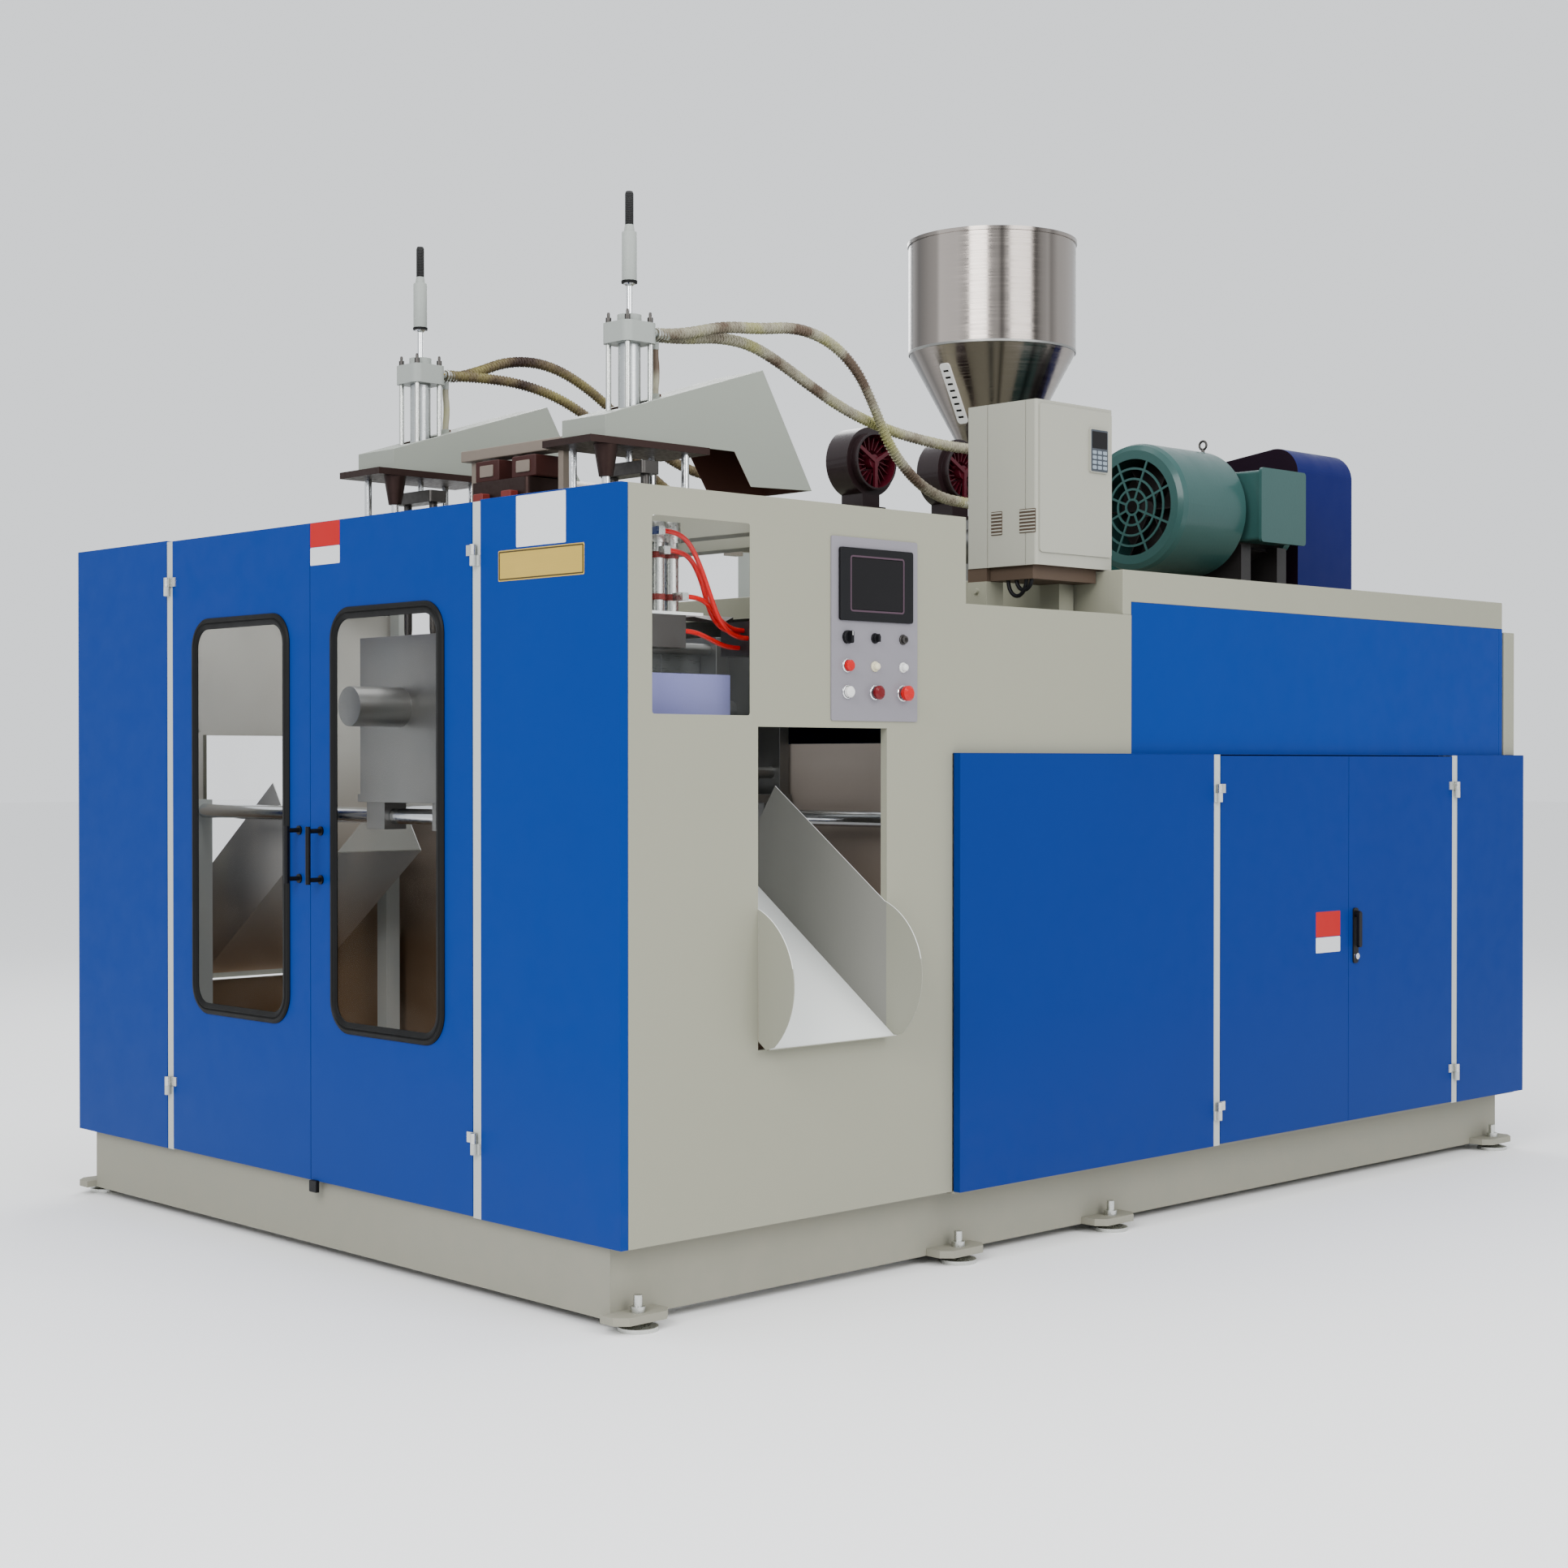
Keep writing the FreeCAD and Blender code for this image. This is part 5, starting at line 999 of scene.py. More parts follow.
# Doors: clear panes in thick rubber, pale hinges, colour fields, latch
doorValues = {
    "window": (0.405, 1.3275),
    "size": (0.550, 1.245),
    "radius": 0.080,
    "paneSize": (0.542, 1.237, 0.004, 0.076),
    "hingeX": 0.80,
    "seal": [
        (-0.020, 0.0004), (-0.020, 0.0035), (-0.016, 0.0072), (-0.006, 0.0088), (-0.001, 0.0052),
        (0.003, 0.0088), (0.011, 0.0078), (0.016, 0.0030), (0.016, 0.0004),
    ],
    "fieldX": 0.083,
    "fieldWidth": 0.160,
    # name, height over the floor, height of the field and look
    "fields": [("doorFieldRed", 2.192, 0.074, "fieldRed"), ("doorFieldWhite", 2.127, 0.054, "paperWhite")],
    "latch": (0.026, 0.212),
    "latchSize": (0.040, 0.036, 0.012, 0.004),
}


def doorLook(p, n):
    return "zincPlate" if p.y < -0.0005 and abs(p.x) > doorValues["hingeX"] else "panelBlue"


def colorField(name, place, normal, width, height, look, body):
    plates(name, [place], normal, (width, height, 0.0006, 0.004), look, body, 0.0002)


def makeDoors():
    values = doorValues
    ahead = toward["front"]
    for side, sign in (("left", -1), ("right", 1)):
        door = side + "_door"
        dress(door, side + "DoorSheet", ["panelBlue", "zincPlate"], doorLook, door, 0.002)
        place = at(sign * values["window"][0], 0.0, values["window"][1])
        shape = (*values["size"], values["radius"], values["seal"])
        seal = frameRing(side + "WindowSeal", place, ahead, *shape, "rubber", door, "rubber")
        back = place + Vector((0, values["paneSize"][2], 0))
        name = side + "WindowPane"
        pane = plates(name, [back], ahead, values["paneSize"], "doorPane", door, 0.0004)
        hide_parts(door + "_window")
        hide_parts(door + "_window")
    for name, z, height, look in values["fields"]:
        place = at(values["fieldX"], 0.0, z)
        colorField(name, place, ahead, values["fieldWidth"], height, look, "right_door")
    x, z = values["latch"]
    size = values["latchSize"]
    plates("doorLatch", [at(x, 0.0, z)], ahead, size, "blackPlastic", "right_door", 0.002)


makeDoors()

# Cabinet: pale hinges, lever plate with its lock, colour fields, louvres on the left
cabinetValues = {
    "faceX": 1.505,
    "hinges": (2.554, 4.044),
    "hingeReach": 0.06,
    "lock": (3.374, 0.812),
    "lockRadius": 0.0118,
    "lockX": 1.5102,
    "fieldY": 3.205,
    "fieldWidth": 0.150,
    "fields": [
        ("cabinetFieldRed", 0.934, 0.088, "fieldRed"),
        ("cabinetFieldWhite", 0.861, 0.054, "paperWhite"),
    ],
    # left panels: ends, seam and hinge posts, then the louvres' lips
    "ends": (1.282, 4.520),
    "seam": (3.298, 3.300),
    "postHalf": 0.018,
    "lip": [(0, 0, 0.0090), (-0.0120, 0, -0.0055), (-0.0105, 0, -0.0070), (0, 0, 0.0065)],
    "lipTop": 1.348,
    "lipPitch": 0.040,
    "lipRows": 5,
    "lipLength": 0.360,
    "lipShare": 0.55,
    # roof sheets: where the cable duct starts, and the height that parts the step from the ledges
    "duct": (1.40, 4.40),
    "stepZ": 1.75,
}


def cabinetLook(p, n):
    values = cabinetValues
    if p.x < values["faceX"] + 0.0005:
        return "cabinetBlue"
    if min(abs(p.y - y) for y in values["hinges"]) < values["hingeReach"]:
        return "zincPlate"
    if math.dist((p.y, p.z), values["lock"]) < values["lockRadius"] and p.x > values["lockX"]:
        return "steelBright"
    return "blackPlastic"


def louvreLips(bm):
    values = cabinetValues
    start, end = values["ends"]
    frontHinge, rearHinge = values["hinges"]
    half = values["postHalf"]
    seam = values["seam"]
    spans = [(start, frontHinge - half), (rearHinge + half, end)]
    spans += [(frontHinge + half, seam[0]), (seam[1], rearHinge - half)]
    for y0, y1 in spans:
        length = min(values["lipLength"], (y1 - y0) * values["lipShare"])
        for row in range(values["lipRows"]):
            height = values["lipTop"] - values["lipPitch"] * row
            place = at(-values["faceX"], (y0 + y1) / 2 - length / 2, height)
            addPrism(bm, values["lip"], place, (0, length, 0))


def roofLook(low, high):
    x, y = cabinetValues["duct"]
    if low.x > x and front(low).y > y:
        return "cableDuct", "creamPaint"
    return ("roofStep", "creamPaint") if high.z > cabinetValues["stepZ"] else ("cabinetLedges", "cabinetBlue")


def makeCabinet():
    values = cabinetValues
    lookList = ["cabinetBlue", "zincPlate", "steelBright", "blackPlastic"]
    for end in ("front", "rear"):
        node = "cabinet_door_" + end
        dress(node, "cabinetDoor" + end.capitalize(), lookList, cabinetLook, node, 0.002)
    for name, z, height, look in values["fields"]:
        place = at(values["faceX"], values["fieldY"], z)
        colorField(name, place, toward["side"], values["fieldWidth"], height, look, "cabinet_door_front")
    many("louvreLips", "cabinetBlue", root, louvreLips)
    for piece in splitNode("roof_sheets", roofLook, root).values():
        softenEdges(piece, 0.002)


makeCabinet()

# Inner faces of the mould bay, in painted shade: side walls, and the bulkhead behind the moulds
bayValues = {"wallX": 1.4735, "bulkheadX": 1.40, "bulkheadY": 1.0}


def sideLook(p, n):
    # Painted shade: the inside is darker, grey on the bulkhead, brown on the side walls.
    values = bayValues
    if abs(p.x) < values["wallX"] and abs(n.x) > 0.9:
        return "insideWarm"
    bulkhead = abs(p.x) < values["bulkheadX"] and n.y < -0.9 and p.y > values["bulkheadY"]
    return "insideGrey" if bulkhead else "creamPaint"


bayLooks = ["insideWarm", "insideGrey", "creamPaint"]
dress("side_panels", "sideWalls", bayLooks, sideLook, root, 0.0012)
print("doors done")

# Chutes: white floor, grey cheeks inside, cream cheeks outside, painted shade on the undersides and the front
# faces near the opening
chuteValues = {
    "wallX": 1.4755,
    "edgeY": 0.4915,
    "screwX": 1.458,
    "screwRows": (1.057, 0.800),
    "screwSides": ((0.9968, -1), (0.4932, 1)),
    "screwSize": 0.0085,
}


def chuteLook(p, n):
    if abs(n.y) < 0.5 and n.z > 0.25:
        return "chuteWhite"
    if abs(p.x) > chuteValues["wallX"]:
        return "chuteCream"
    # Painted shade on the undersides and the front-facing faces near the edge, darker towards the bottom.
    if n.z < -0.25 or (n.y < -0.5 and p.y < chuteValues["edgeY"]):
        return "chuteShade"
    return "chuteGrey"


def makeChutes():
    values = chuteValues
    cuts = [((values["wallX"], 0, 0), toward["side"]), ((-values["wallX"], 0, 0), toward["side"])]
    lookList = ["chuteWhite", "chuteGrey", "chuteCream", "chuteShade"]
    dress("chutes", "chuteSheets", lookList, chuteLook, root, 0.0008, cuts)
    spots = []
    for side in (-1, 1):
        for z in values["screwRows"]:
            for y, inward in values["screwSides"]:
                spots.append((at(side * values["screwX"], y, z), (0, inward, 0), values["screwSize"]))
    scatter("chuteScrews", spots, "pan", "zincPlate")


makeChutes()

# Front panel: paper and bare brass plate
frontValues = {
    "paper": at(1.1385, 0.0, 2.160),
    "paperSize": (0.217, 0.140, 0.0005, 0.003),
    "brass": at(1.138, 0.0, 2.0425),
    "brassSize": (0.376, 0.085, 0.0012, 0.004),
    "rimSize": (0.370, 0.079, 0.004),
    "rim": [(-0.004, 0.0011), (-0.004, 0.0018), (0.0, 0.0018), (0.0, 0.0011)],
    "screws": (0.350, 0.058),
    "screwSize": 0.004,
}


def makeFrontFields():
    values = frontValues
    ahead = toward["front"]
    size = values["paperSize"]
    plates("paperSheet", [values["paper"]], ahead, size, "paperWhite", root, 0.0002)
    size = values["brassSize"]
    plates("brassPlate", [values["brass"]], ahead, size, "brassPlate", root, 0.0004)
    shape = (*values["rimSize"], values["rim"])
    frameRing("brassPlateRim", values["brass"], ahead, *shape, "brassDark", root, "machined_steel")
    width, height = values["screws"]
    places = grid(values["brass"] + size[2] * Vector(ahead), (width, 0, 0), (0, 0, height), 2, 2)
    scatter("brassPlateScrews", [(p, ahead, values["screwSize"]) for p in places], "pan", "zincPlate")


makeFrontFields()

# Control panel: screen, bezels, lamps and screws
controlValues = {
    "face": 1.479,
    "columns": (0.832, 0.945, 1.062),
    "rows": (1.858, 1.777, 1.702),
    "collar": [(0.0, 0.0), (0.0150, 0.0), (0.0150, 0.0035), (0.0138, 0.0050), (0.0116, 0.0052)],
    "lens": [(0.0112, 0.0100), (0.0104, 0.0135), (0.0082, 0.0162), (0.0044, 0.0177), (0.0, 0.0180)],
    "key": [(0.0112, 0.0120), (0.0102, 0.0130), (0.0060, 0.0130), (0.0056, 0.0105), (0.0, 0.0105)],
    "knob": [(0.0118, 0.0110), (0.0108, 0.0122), (0.0, 0.0122)],
    "grip": [
        (0.012, 0.0045, -0.0105), (0.012, -0.0045, -0.0105), (0.012, -0.0050, 0.0050), (0.012, 0.0, 0.0125),
        (0.012, 0.0050, 0.0050),
    ],
    "gripLift": 0.0085,
    "slotLift": 0.0106,
    "slotSize": (0.0016, 0.0085, 0.0006, 0.0007),
    "markLift": 0.0238,
    "markRise": 0.0105,
    "markSize": (0.0022, 0.0125, 0.0006, 0.001),
    "screws": ((0.785, 1.109), (1.640, 2.122)),
    "screwSize": 0.0055,
    "screen": at(1.4851, 0.948, 2.011),
    "screenSize": (0.209, 0.147, 0.0016, 0.004),
    "lineLift": 0.0029,
    "lineSize": (0.210, 0.148, 0.004),
    "line": [(0.0012, -0.0001), (0.0012, 0.0005), (0.0062, 0.0005), (0.0062, -0.0001)],
}


def makeControls():
    values = controlValues
    face = values["face"]
    side = toward["side"]
    left, middle, right = values["columns"]
    top, centre, bottom = values["rows"]
    for name, y, z, look, shape in [
        ("smallSelector", middle, top, "blackPlastic", "knob"),
        ("keySwitch", right, top, "steelDark", "key"),
        ("creamLamp", middle, centre, "creamPlastic", "lens"),
        ("whiteLamp", right, centre, "whitePlastic", "lens"),
    ]:
        profile = values["collar"] + values[shape]
        lamp = turned(name, profile, [at(face, y, z)], side, look, root, 28)
        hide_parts("panel_lamps")
    place = at(face, middle, top)
    lift = (values["gripLift"], 0, 0)
    build = lambda bm: addPrism(bm, values["grip"], place, lift)
    many("smallSelectorGrip", "blackPlastic", root, build)
    place = at(face + values["slotLift"], right, top)
    plates("keySlot", [place], side, values["slotSize"], "blackPlastic", root, 0.0002)
    place = at(face + values["markLift"], left, top + values["markRise"])
    size = values["markSize"]
    plates("selectorMark", [place], side, size, "whitePlastic", "mode_selector", 0.0002)

    def rings(bm):
        # column, row, inner and outer radius
        for y, z, inner, outer in [
            (left, centre, 0.0168, 0.0200),
            (left, bottom, 0.0168, 0.0200),
            (middle, bottom, 0.0180, 0.0215),
            (right, bottom, 0.0200, 0.0240),
        ]:
            shape = [(inner, 0.0), (inner, 0.0046), (inner + 0.0006, 0.0052)]
            shape += [(outer - 0.0012, 0.0046), (outer, 0.0030), (outer, 0.0)]
            addTurned(bm, shape, at(face, y, z), side, 32, True)

    many("buttonBezels", "steelBright", root, rings)
    columns, rows = values["screws"]
    spots = [(at(face, y, z), side, values["screwSize"]) for y in columns for z in rows]
    scatter("controlPlateScrews", spots, "pan", "zincPlate")
    screen = values["screen"]
    plates("screenGlass", [screen], side, values["screenSize"], "screenDark", root, 0.0003)
    place = screen + values["lineLift"] * Vector(side)
    shape = (*values["lineSize"], values["line"])
    frameRing("screenLine", place, side, *shape, "screenLine", root, "black_plastic")


makeControls()
print("controls done")

# Inverter: keypad, vents, screws and the two bent pipes under it
inverterValues = {
    "front": 1.750,
    "pad": (1.414, 2.045, 2.500),
    "padSize": (0.084, 0.134, 0.0010, 0.004),
    "displayRise": 0.034,
    "displaySize": (0.074, 0.054, 0.0010, 0.003),
    "keysDrop": 0.030,
    "keysSpan": (0.052, 0.048),
    "keySize": (0.019, 0.0115, 0.0020, 0.003),
    # middle and width of each vent, their lower and upper edge
    "vents": ((1.2365, 0.047), (1.3645, 0.067)),
    "ventZ": (2.222, 2.298),
    "pocketLift": 0.0002,
    "pocketSize": (0.0008, 0.003),
    "bars": 7,
    "barSize": (0.0045, 0.0030, 0.0015),
    "barGap": 0.004,
    "caseFoot": 2.1225,
    "standTop": 2.0795,
    "lidScrews": ((1.200, 2.625), (1.342, 2.625), (1.216, 2.176), (1.384, 2.160)),
    "sideScrews": (1.406, (1.776, 2.104), (2.178, 2.612)),
    "screwSizes": (0.0065, 0.0055),
    # start, end and drop of each pipe
    "pipes": ((1.255, 1.330, 0.052), (1.290, 1.352, 0.034)),
    "pipeY": 1.785,
    "pipeTop": 2.081,
    "pipeRadius": 0.0065,
}


def caseLook(p, n):
    # Painted shade: the case's foot is dark brown.
    return "ventBrown" if p.z < inverterValues["caseFoot"] else "caseIvory"


def standLook(p, n):
    # Painted shade: the stand's top, under the case, is dark brown.
    return "ventBrown" if p.z > inverterValues["standTop"] else "creamPaint"


def bentPipes(bm):
    values = inverterValues
    for x0, x1, drop in values["pipes"]:
        points = []
        for k in range(17):
            angle = math.pi * k / 16
            x = (x0 + x1) / 2 - (x1 - x0) / 2 * math.cos(angle)
            points.append(at(x, values["pipeY"], values["pipeTop"] - drop * math.sin(angle)))
        addTube(bm, points, values["pipeRadius"], 12)


def makeInverter():
    values = inverterValues
    cuts = [((0, 0, values["standTop"]), toward["up"])]
    lookList = ["ventBrown", "creamPaint"]
    dress("inverter_stand", "inverterStand", lookList, standLook, root, 0.002, cuts)
    many("inverterPipes", "blackPlastic", root, bentPipes)
    lookList = ["ventBrown", "caseIvory"]
    dress("inverter_case", "inverterCase", lookList, caseLook, root, 0.004)
    x, y, z = values["pad"]
    side = toward["side"]
    face = values["front"]
    plates("keypadFace", [at(x, y, z)], side, values["padSize"], "keyDark", root, 0.0003)
    x += values["padSize"][2]
    place = at(x, y, z + values["displayRise"])
    plates("keypadDisplay", [place], side, values["displaySize"], "screenDark", root, 0.0003)
    width, height = values["keysSpan"]
    places = grid(at(x, y, z - values["keysDrop"]), (0, width, 0), (0, 0, height), 3, 4)
    plates("keypadKeys", places, side, values["keySize"], "keyPale", root)
    low, high = values["ventZ"]

    def pockets(bm):
        # Dark brown plates behind the bars: painted shade in the vent slots.
        for centre, width in values["vents"]:
            place = at(centre, face + values["pocketLift"], (low + high) / 2)
            addPlate(bm, place, toward["front"], width, high - low, *values["pocketSize"], 0.0002)

    def bars(bm):
        for centre, width in values["vents"]:
            for k in range(values["bars"]):
                place = at(centre, face, low + (k + 0.5) * (high - low) / values["bars"])
                addPlate(bm, place, toward["front"], width - values["barGap"], *values["barSize"], 0.0006)

    many("inverterVents", "ventBrown", root, pockets)
    many("inverterVentBars", "caseIvory", root, bars)
    lidSize, sideSize = values["screwSizes"]
    spots = [(at(sx, face, sz), toward["front"], lidSize) for sx, sz in values["lidScrews"]]
    sx, rows, levels = values["sideScrews"]
    spots += [(at(sx, sy, sz), side, sideSize) for sy in rows for sz in levels]
    scatter("inverterScrews", spots, "pan", "steelDark")


makeInverter()

# Hopper: sight strip, flange bolts, waist band and weld seam
hopperValues = {
    "neck": 0.080,
    "rise": 0.248,
    "cone": (2.650, 3.110),
    "radius": 0.328,
    # sight strip: its turn round the axis, its middle, its first tick and their pitch
    "strip": -88.0,
    "stripZ": 2.930,
    "stripSize": (0.050, 0.250, 0.004, 0.014),
    "tickZ": 2.845,
    "tickPitch": 0.024,
    "ticks": 8,
    "tickSize": (0.026, 0.008, 0.0006, 0.002),
    "stripSink": 0.001,
    "tickLift": 0.003,
    # waist band: (out from the sheet, height)
    "waist": [(-0.001, -0.006), (0.0010, -0.004), (0.0010, 0.004), (-0.001, 0.006)],
    "flangeZ": 2.610,
    "flangeRadius": 0.096,
    "boltSize": 0.0085,
    "seam": 118.0,
    "seamZ": 3.325,
    "seamSize": (0.006, 0.400, 0.0018, 0.002),
}


def conePlace(height, angle):
    values = hopperValues
    low, high = values["cone"]
    radius = values["neck"] + values["rise"] * (height - low) / (high - low)
    return at(radius * math.cos(angle), hopperAxis + radius * math.sin(angle), height)


def makeHopper():
    values = hopperValues
    up = toward["up"]
    low, high = values["cone"]
    slope = math.atan2(values["rise"], high - low)
    angle = math.radians(values["strip"])
    normal = Vector((math.cos(angle) * math.cos(slope), math.sin(angle) * math.cos(slope), -math.sin(slope)))
    places = [conePlace(values["stripZ"], angle) - values["stripSink"] * normal]
    plates("sightStrip", places, normal, values["stripSize"], "whitePlastic", root, 0.0008)
    heights = [values["tickZ"] + values["tickPitch"] * k for k in range(values["ticks"])]
    places = [conePlace(height, angle) + values["tickLift"] * normal for height in heights]
    plates("sightTicks", places, normal, values["tickSize"], "screenDark", root, 0.0002)
    places = circle(at(0, hopperAxis, values["flangeZ"]), up, values["flangeRadius"], 8, 0.5)
    scatter("hopperBolts", [(p, up, values["boltSize"]) for p in places], "hex", "zincPlate")
    radius = values["radius"]
    band = [(radius + out, height) for out, height in values["waist"]]
    turned("hopperWaist", band, [at(0, hopperAxis, high)], up, "steelPlate", root, 96, True)
    seam = math.radians(values["seam"])
    outward = Vector((math.cos(seam), math.sin(seam), 0))
    place = at(0, hopperAxis, values["seamZ"]) + (radius - 0.0005) * outward
    plates("hopperSeam", [place], outward, values["seamSize"], "steelPlate", root)


makeHopper()
print("hopper done")

# Blow stations: dark frames, partly painted shade; hoods with painted shade inside; aluminium cylinders, rods
# with their sleeves
stationValues = {
    # frame: the space between its two plates, the guide posts that cross it and their radius
    "frameZ": (2.2505, 2.4655),
    "posts": (0.080, 0.160),
    "postRadius": 0.0145,
    # a point within each hood, which tells its inner faces, in painted shade, from its outer ones
    "hoodCentre": (1.02, 2.52),
    # cylinder: the bore between its caps, the tie rods at its corners and the nuts on top
    "boreZ": (2.5705, 2.7995),
    "boreRadius": 0.033,
    "tieX": 0.046,
    "nutZ": 2.8645,
    "nutRadius": 0.012,
    "rodEndZ": 2.4305,
    "rodEndRadius": 0.0105,
    "sleeve": [
        (0.0165, 2.9925), (0.0225, 2.9930), (0.0235, 2.9960), (0.0235, 3.1450), (0.0220, 3.1480),
        (0.0165, 3.1490), (0.0155, 3.1600), (0.0135, 3.1700), (0.0120, 3.1710),
    ],
    "cuff": [(0.0225, 2.9880), (0.0250, 2.9885), (0.0255, 2.9960), (0.0230, 2.9975)],
    "thread": [(0.0105, 3.1600), (0.0135, 3.1650), (0.0135, 3.2660), (0.0110, 3.2730), (0.0105, 3.2735)],
    "capZ": 2.571,
    "tube": [(0.0275, 0.0), (0.0350, 0.001), (0.0350, 0.227), (0.0275, 0.228)],
    "tie": [(0.0062, 0.0), (0.0085, 0.001), (0.0085, 0.227), (0.0062, 0.228)],
    "studZ": 2.882,
    "stud": [(0.0048, 0.0), (0.0048, 0.012), (0.0036, 0.016), (0.0, 0.016)],
    "nut": [(0.0, 0.0), (0.0135, 0.0), (0.0135, 0.014), (0.0105, 0.018), (0.0, 0.018)],
    "hoseNuts": (0.020, 0.8655, 2.842),
    # bolts: height and size on the upper plate, the lower plate and the hood's sides
    "topBolts": (2.488, 0.0115),
    "lowBolts": (2.2505, 0.0095),
    "lowSpan": (0.220, 0.380),
    "hoodBolts": (2.505, 0.0065),
    "hoodHalf": 0.105,
    "hoodRows": (0.70, 0.86, 1.02),
}


def stationOffset(p):
    return p.x - math.copysign(stationX, p.x), p.y - stationY


def frameLook(p, n):
    dx, dy = stationOffset(p)
    low, high = stationValues["frameZ"]
    postX, postY = stationValues["posts"]
    if math.hypot(abs(dx) - postX, abs(dy) - postY) < stationValues["postRadius"] and low < p.z < high:
        return "steelBright"
    # Above the lower plate the frame is dark, partly its own dark steel and partly painted shade under the
    # hoods.
    return "steelPlate" if p.z < low else "frameDark"


def hoodLook(p, n):
    # Inner faces take a dark red-brown painted shade.
    inward = Vector((math.copysign(stationX, p.x), *stationValues["hoodCentre"])) - p
    return "hoodInside" if inward.dot(n) > 0 else "hoodPaint"


def cylinderLook(p, n):
    values = stationValues
    dx, dy = stationOffset(p)
    low, high = values["boreZ"]
    corner = math.hypot(abs(dx) - values["tieX"], abs(dy) - values["tieX"])
    if p.z > values["nutZ"] and corner < values["nutRadius"]:
        return "steelDark"
    if low < p.z < high:
        return "aluminium" if math.hypot(dx, dy) < values["boreRadius"] else "zincPlate"
    return "stationGrey"


def rodLook(p, n):
    dx, dy = stationOffset(p)
    end = p.z < stationValues["rodEndZ"] and math.hypot(dx, dy) > stationValues["rodEndRadius"]
    return "steelDark" if end else "steelBright"


def corners(z, width, depth):
    # The four corners about each station's centre line.
    places = []
    for sign in (-1, 1):
        places += grid(at(sign * stationX, stationY, z), (width, 0, 0), (0, depth, 0), 2, 2)
    return places


def makeStations():
    values = stationValues
    up = toward["up"]
    lookList = ["steelBright", "steelPlate", "frameDark"]
    dress("blow_frames", "stationFrames", lookList, frameLook, root, 0.0015)
    dress("blow_hoods", "stationHoods", ["hoodInside", "hoodPaint"], hoodLook, root, 0.0012)
    lookList = ["steelDark", "aluminium", "zincPlate", "stationGrey"]
    dress("blow_cylinders", "stationCylinders", lookList, cylinderLook, root, 0.002)
    for side, sign in (("left", -1), ("right", 1)):
        rod = side + "_blow_rod"
        place = at(sign * stationX, stationY, 0.0)
        for kind, look in (("sleeve", "stationGrey"), ("cuff", "rubber"), ("thread", "threadDark")):
            turned(side + "Rod" + kind.capitalize(), values[kind], [place], up, look, rod)
    for side in ("left", "right"):
        rod = side + "_blow_rod"
        dress(rod, side + "BlowRod", ["steelDark", "steelBright"], rodLook, rod, 0.0012)
    span = 2 * values["tieX"]
    middles = [at(sign * stationX, stationY, values["capZ"]) for sign in (-1, 1)]
    turned("cylinderTubes", values["tube"], middles, up, "aluminium", root, 40, True)
    places = corners(values["capZ"], span, span)
    turned("cylinderTies", values["tie"], places, up, "zincPlate", root, 16, True)
    places = corners(values["studZ"], span, span)
    turned("tieStuds", values["stud"], places, up, "steelDark", root, 12)
    dx, y, z = values["hoseNuts"]
    places = [at(sx * stationX + side * dx, y, z) for sx in (-1, 1) for side in (-1, 1)]
    turned("hoseNuts", values["nut"], places, toward["back"], "brassPlate", root, 6)
    topZ, topSize = values["topBolts"]
    lowZ, lowSize = values["lowBolts"]
    hoodZ, hoodSize = values["hoodBolts"]
    postX, postY = values["posts"]
    top = [(place, up, topSize) for place in corners(topZ, 2 * postX, 2 * postY)]
    low = [(place, up, lowSize) for place in corners(lowZ, *values["lowSpan"])]
    spots = []
    for k, sx in enumerate((-1, 1)):
        spots += top[4 * k : 4 * k + 4] + low[4 * k : 4 * k + 4]
        for y in values["hoodRows"]:
            for side in (-1, 1):
                place = at(sx * stationX + side * values["hoodHalf"], y, hoodZ)
                spots.append((place, (side, 0, 0), hoodSize))
    scatter("stationBolts", spots, "hex", "steelDark")


makeStations()

# Die head: heater boxes on the two cores, bridge over them and its posts
headValues = {
    "boxSpread": 1.3,
    "boxZ": 2.458,
    "boxReach": 0.060,
    "boxSize": (0.126, 0.070, 0.120, 0.006),
    "panelSize": (0.070, 0.038, 0.004, 0.004),
    # bridge: across, back from the centre line and height, then width, height, thickness, radius and edge
    "bridge": [
        ((0.0, 0.036, 2.5225), (0.550, 0.036, 0.072, 0.004, 0.002)),
        ((-0.232, 0.014, 2.424), (0.026, 0.168, 0.028, 0.003, 0.0015)),
        ((-0.190, 0.012, 2.360), (0.090, 0.020, 0.024, 0.003, 0.0015)),
        ((0.232, 0.014, 2.424), (0.026, 0.168, 0.028, 0.003, 0.0015)),
        ((0.190, 0.012, 2.360), (0.090, 0.020, 0.024, 0.003, 0.0015)),
        ((0.0, 0.014, 2.4625), (0.024, 0.088, 0.028, 0.003, 0.0015)),
    ],
    "bridgeTop": 2.5405,
    "bridgeNuts": (0.120, 0.044),
    "coreFace": 0.085,
    "coreZ": 2.360,
    "coreNuts": (0.090, 0.080),
    "nutSize": 0.009,
    "plugSize": (0.052, 0.036, 0.030, 0.005),
}


def bridgeBars(bm):
    for (x, back, z), size in headValues["bridge"]:
        addPlate(bm, at(x, stationY + back, z), toward["front"], *size)


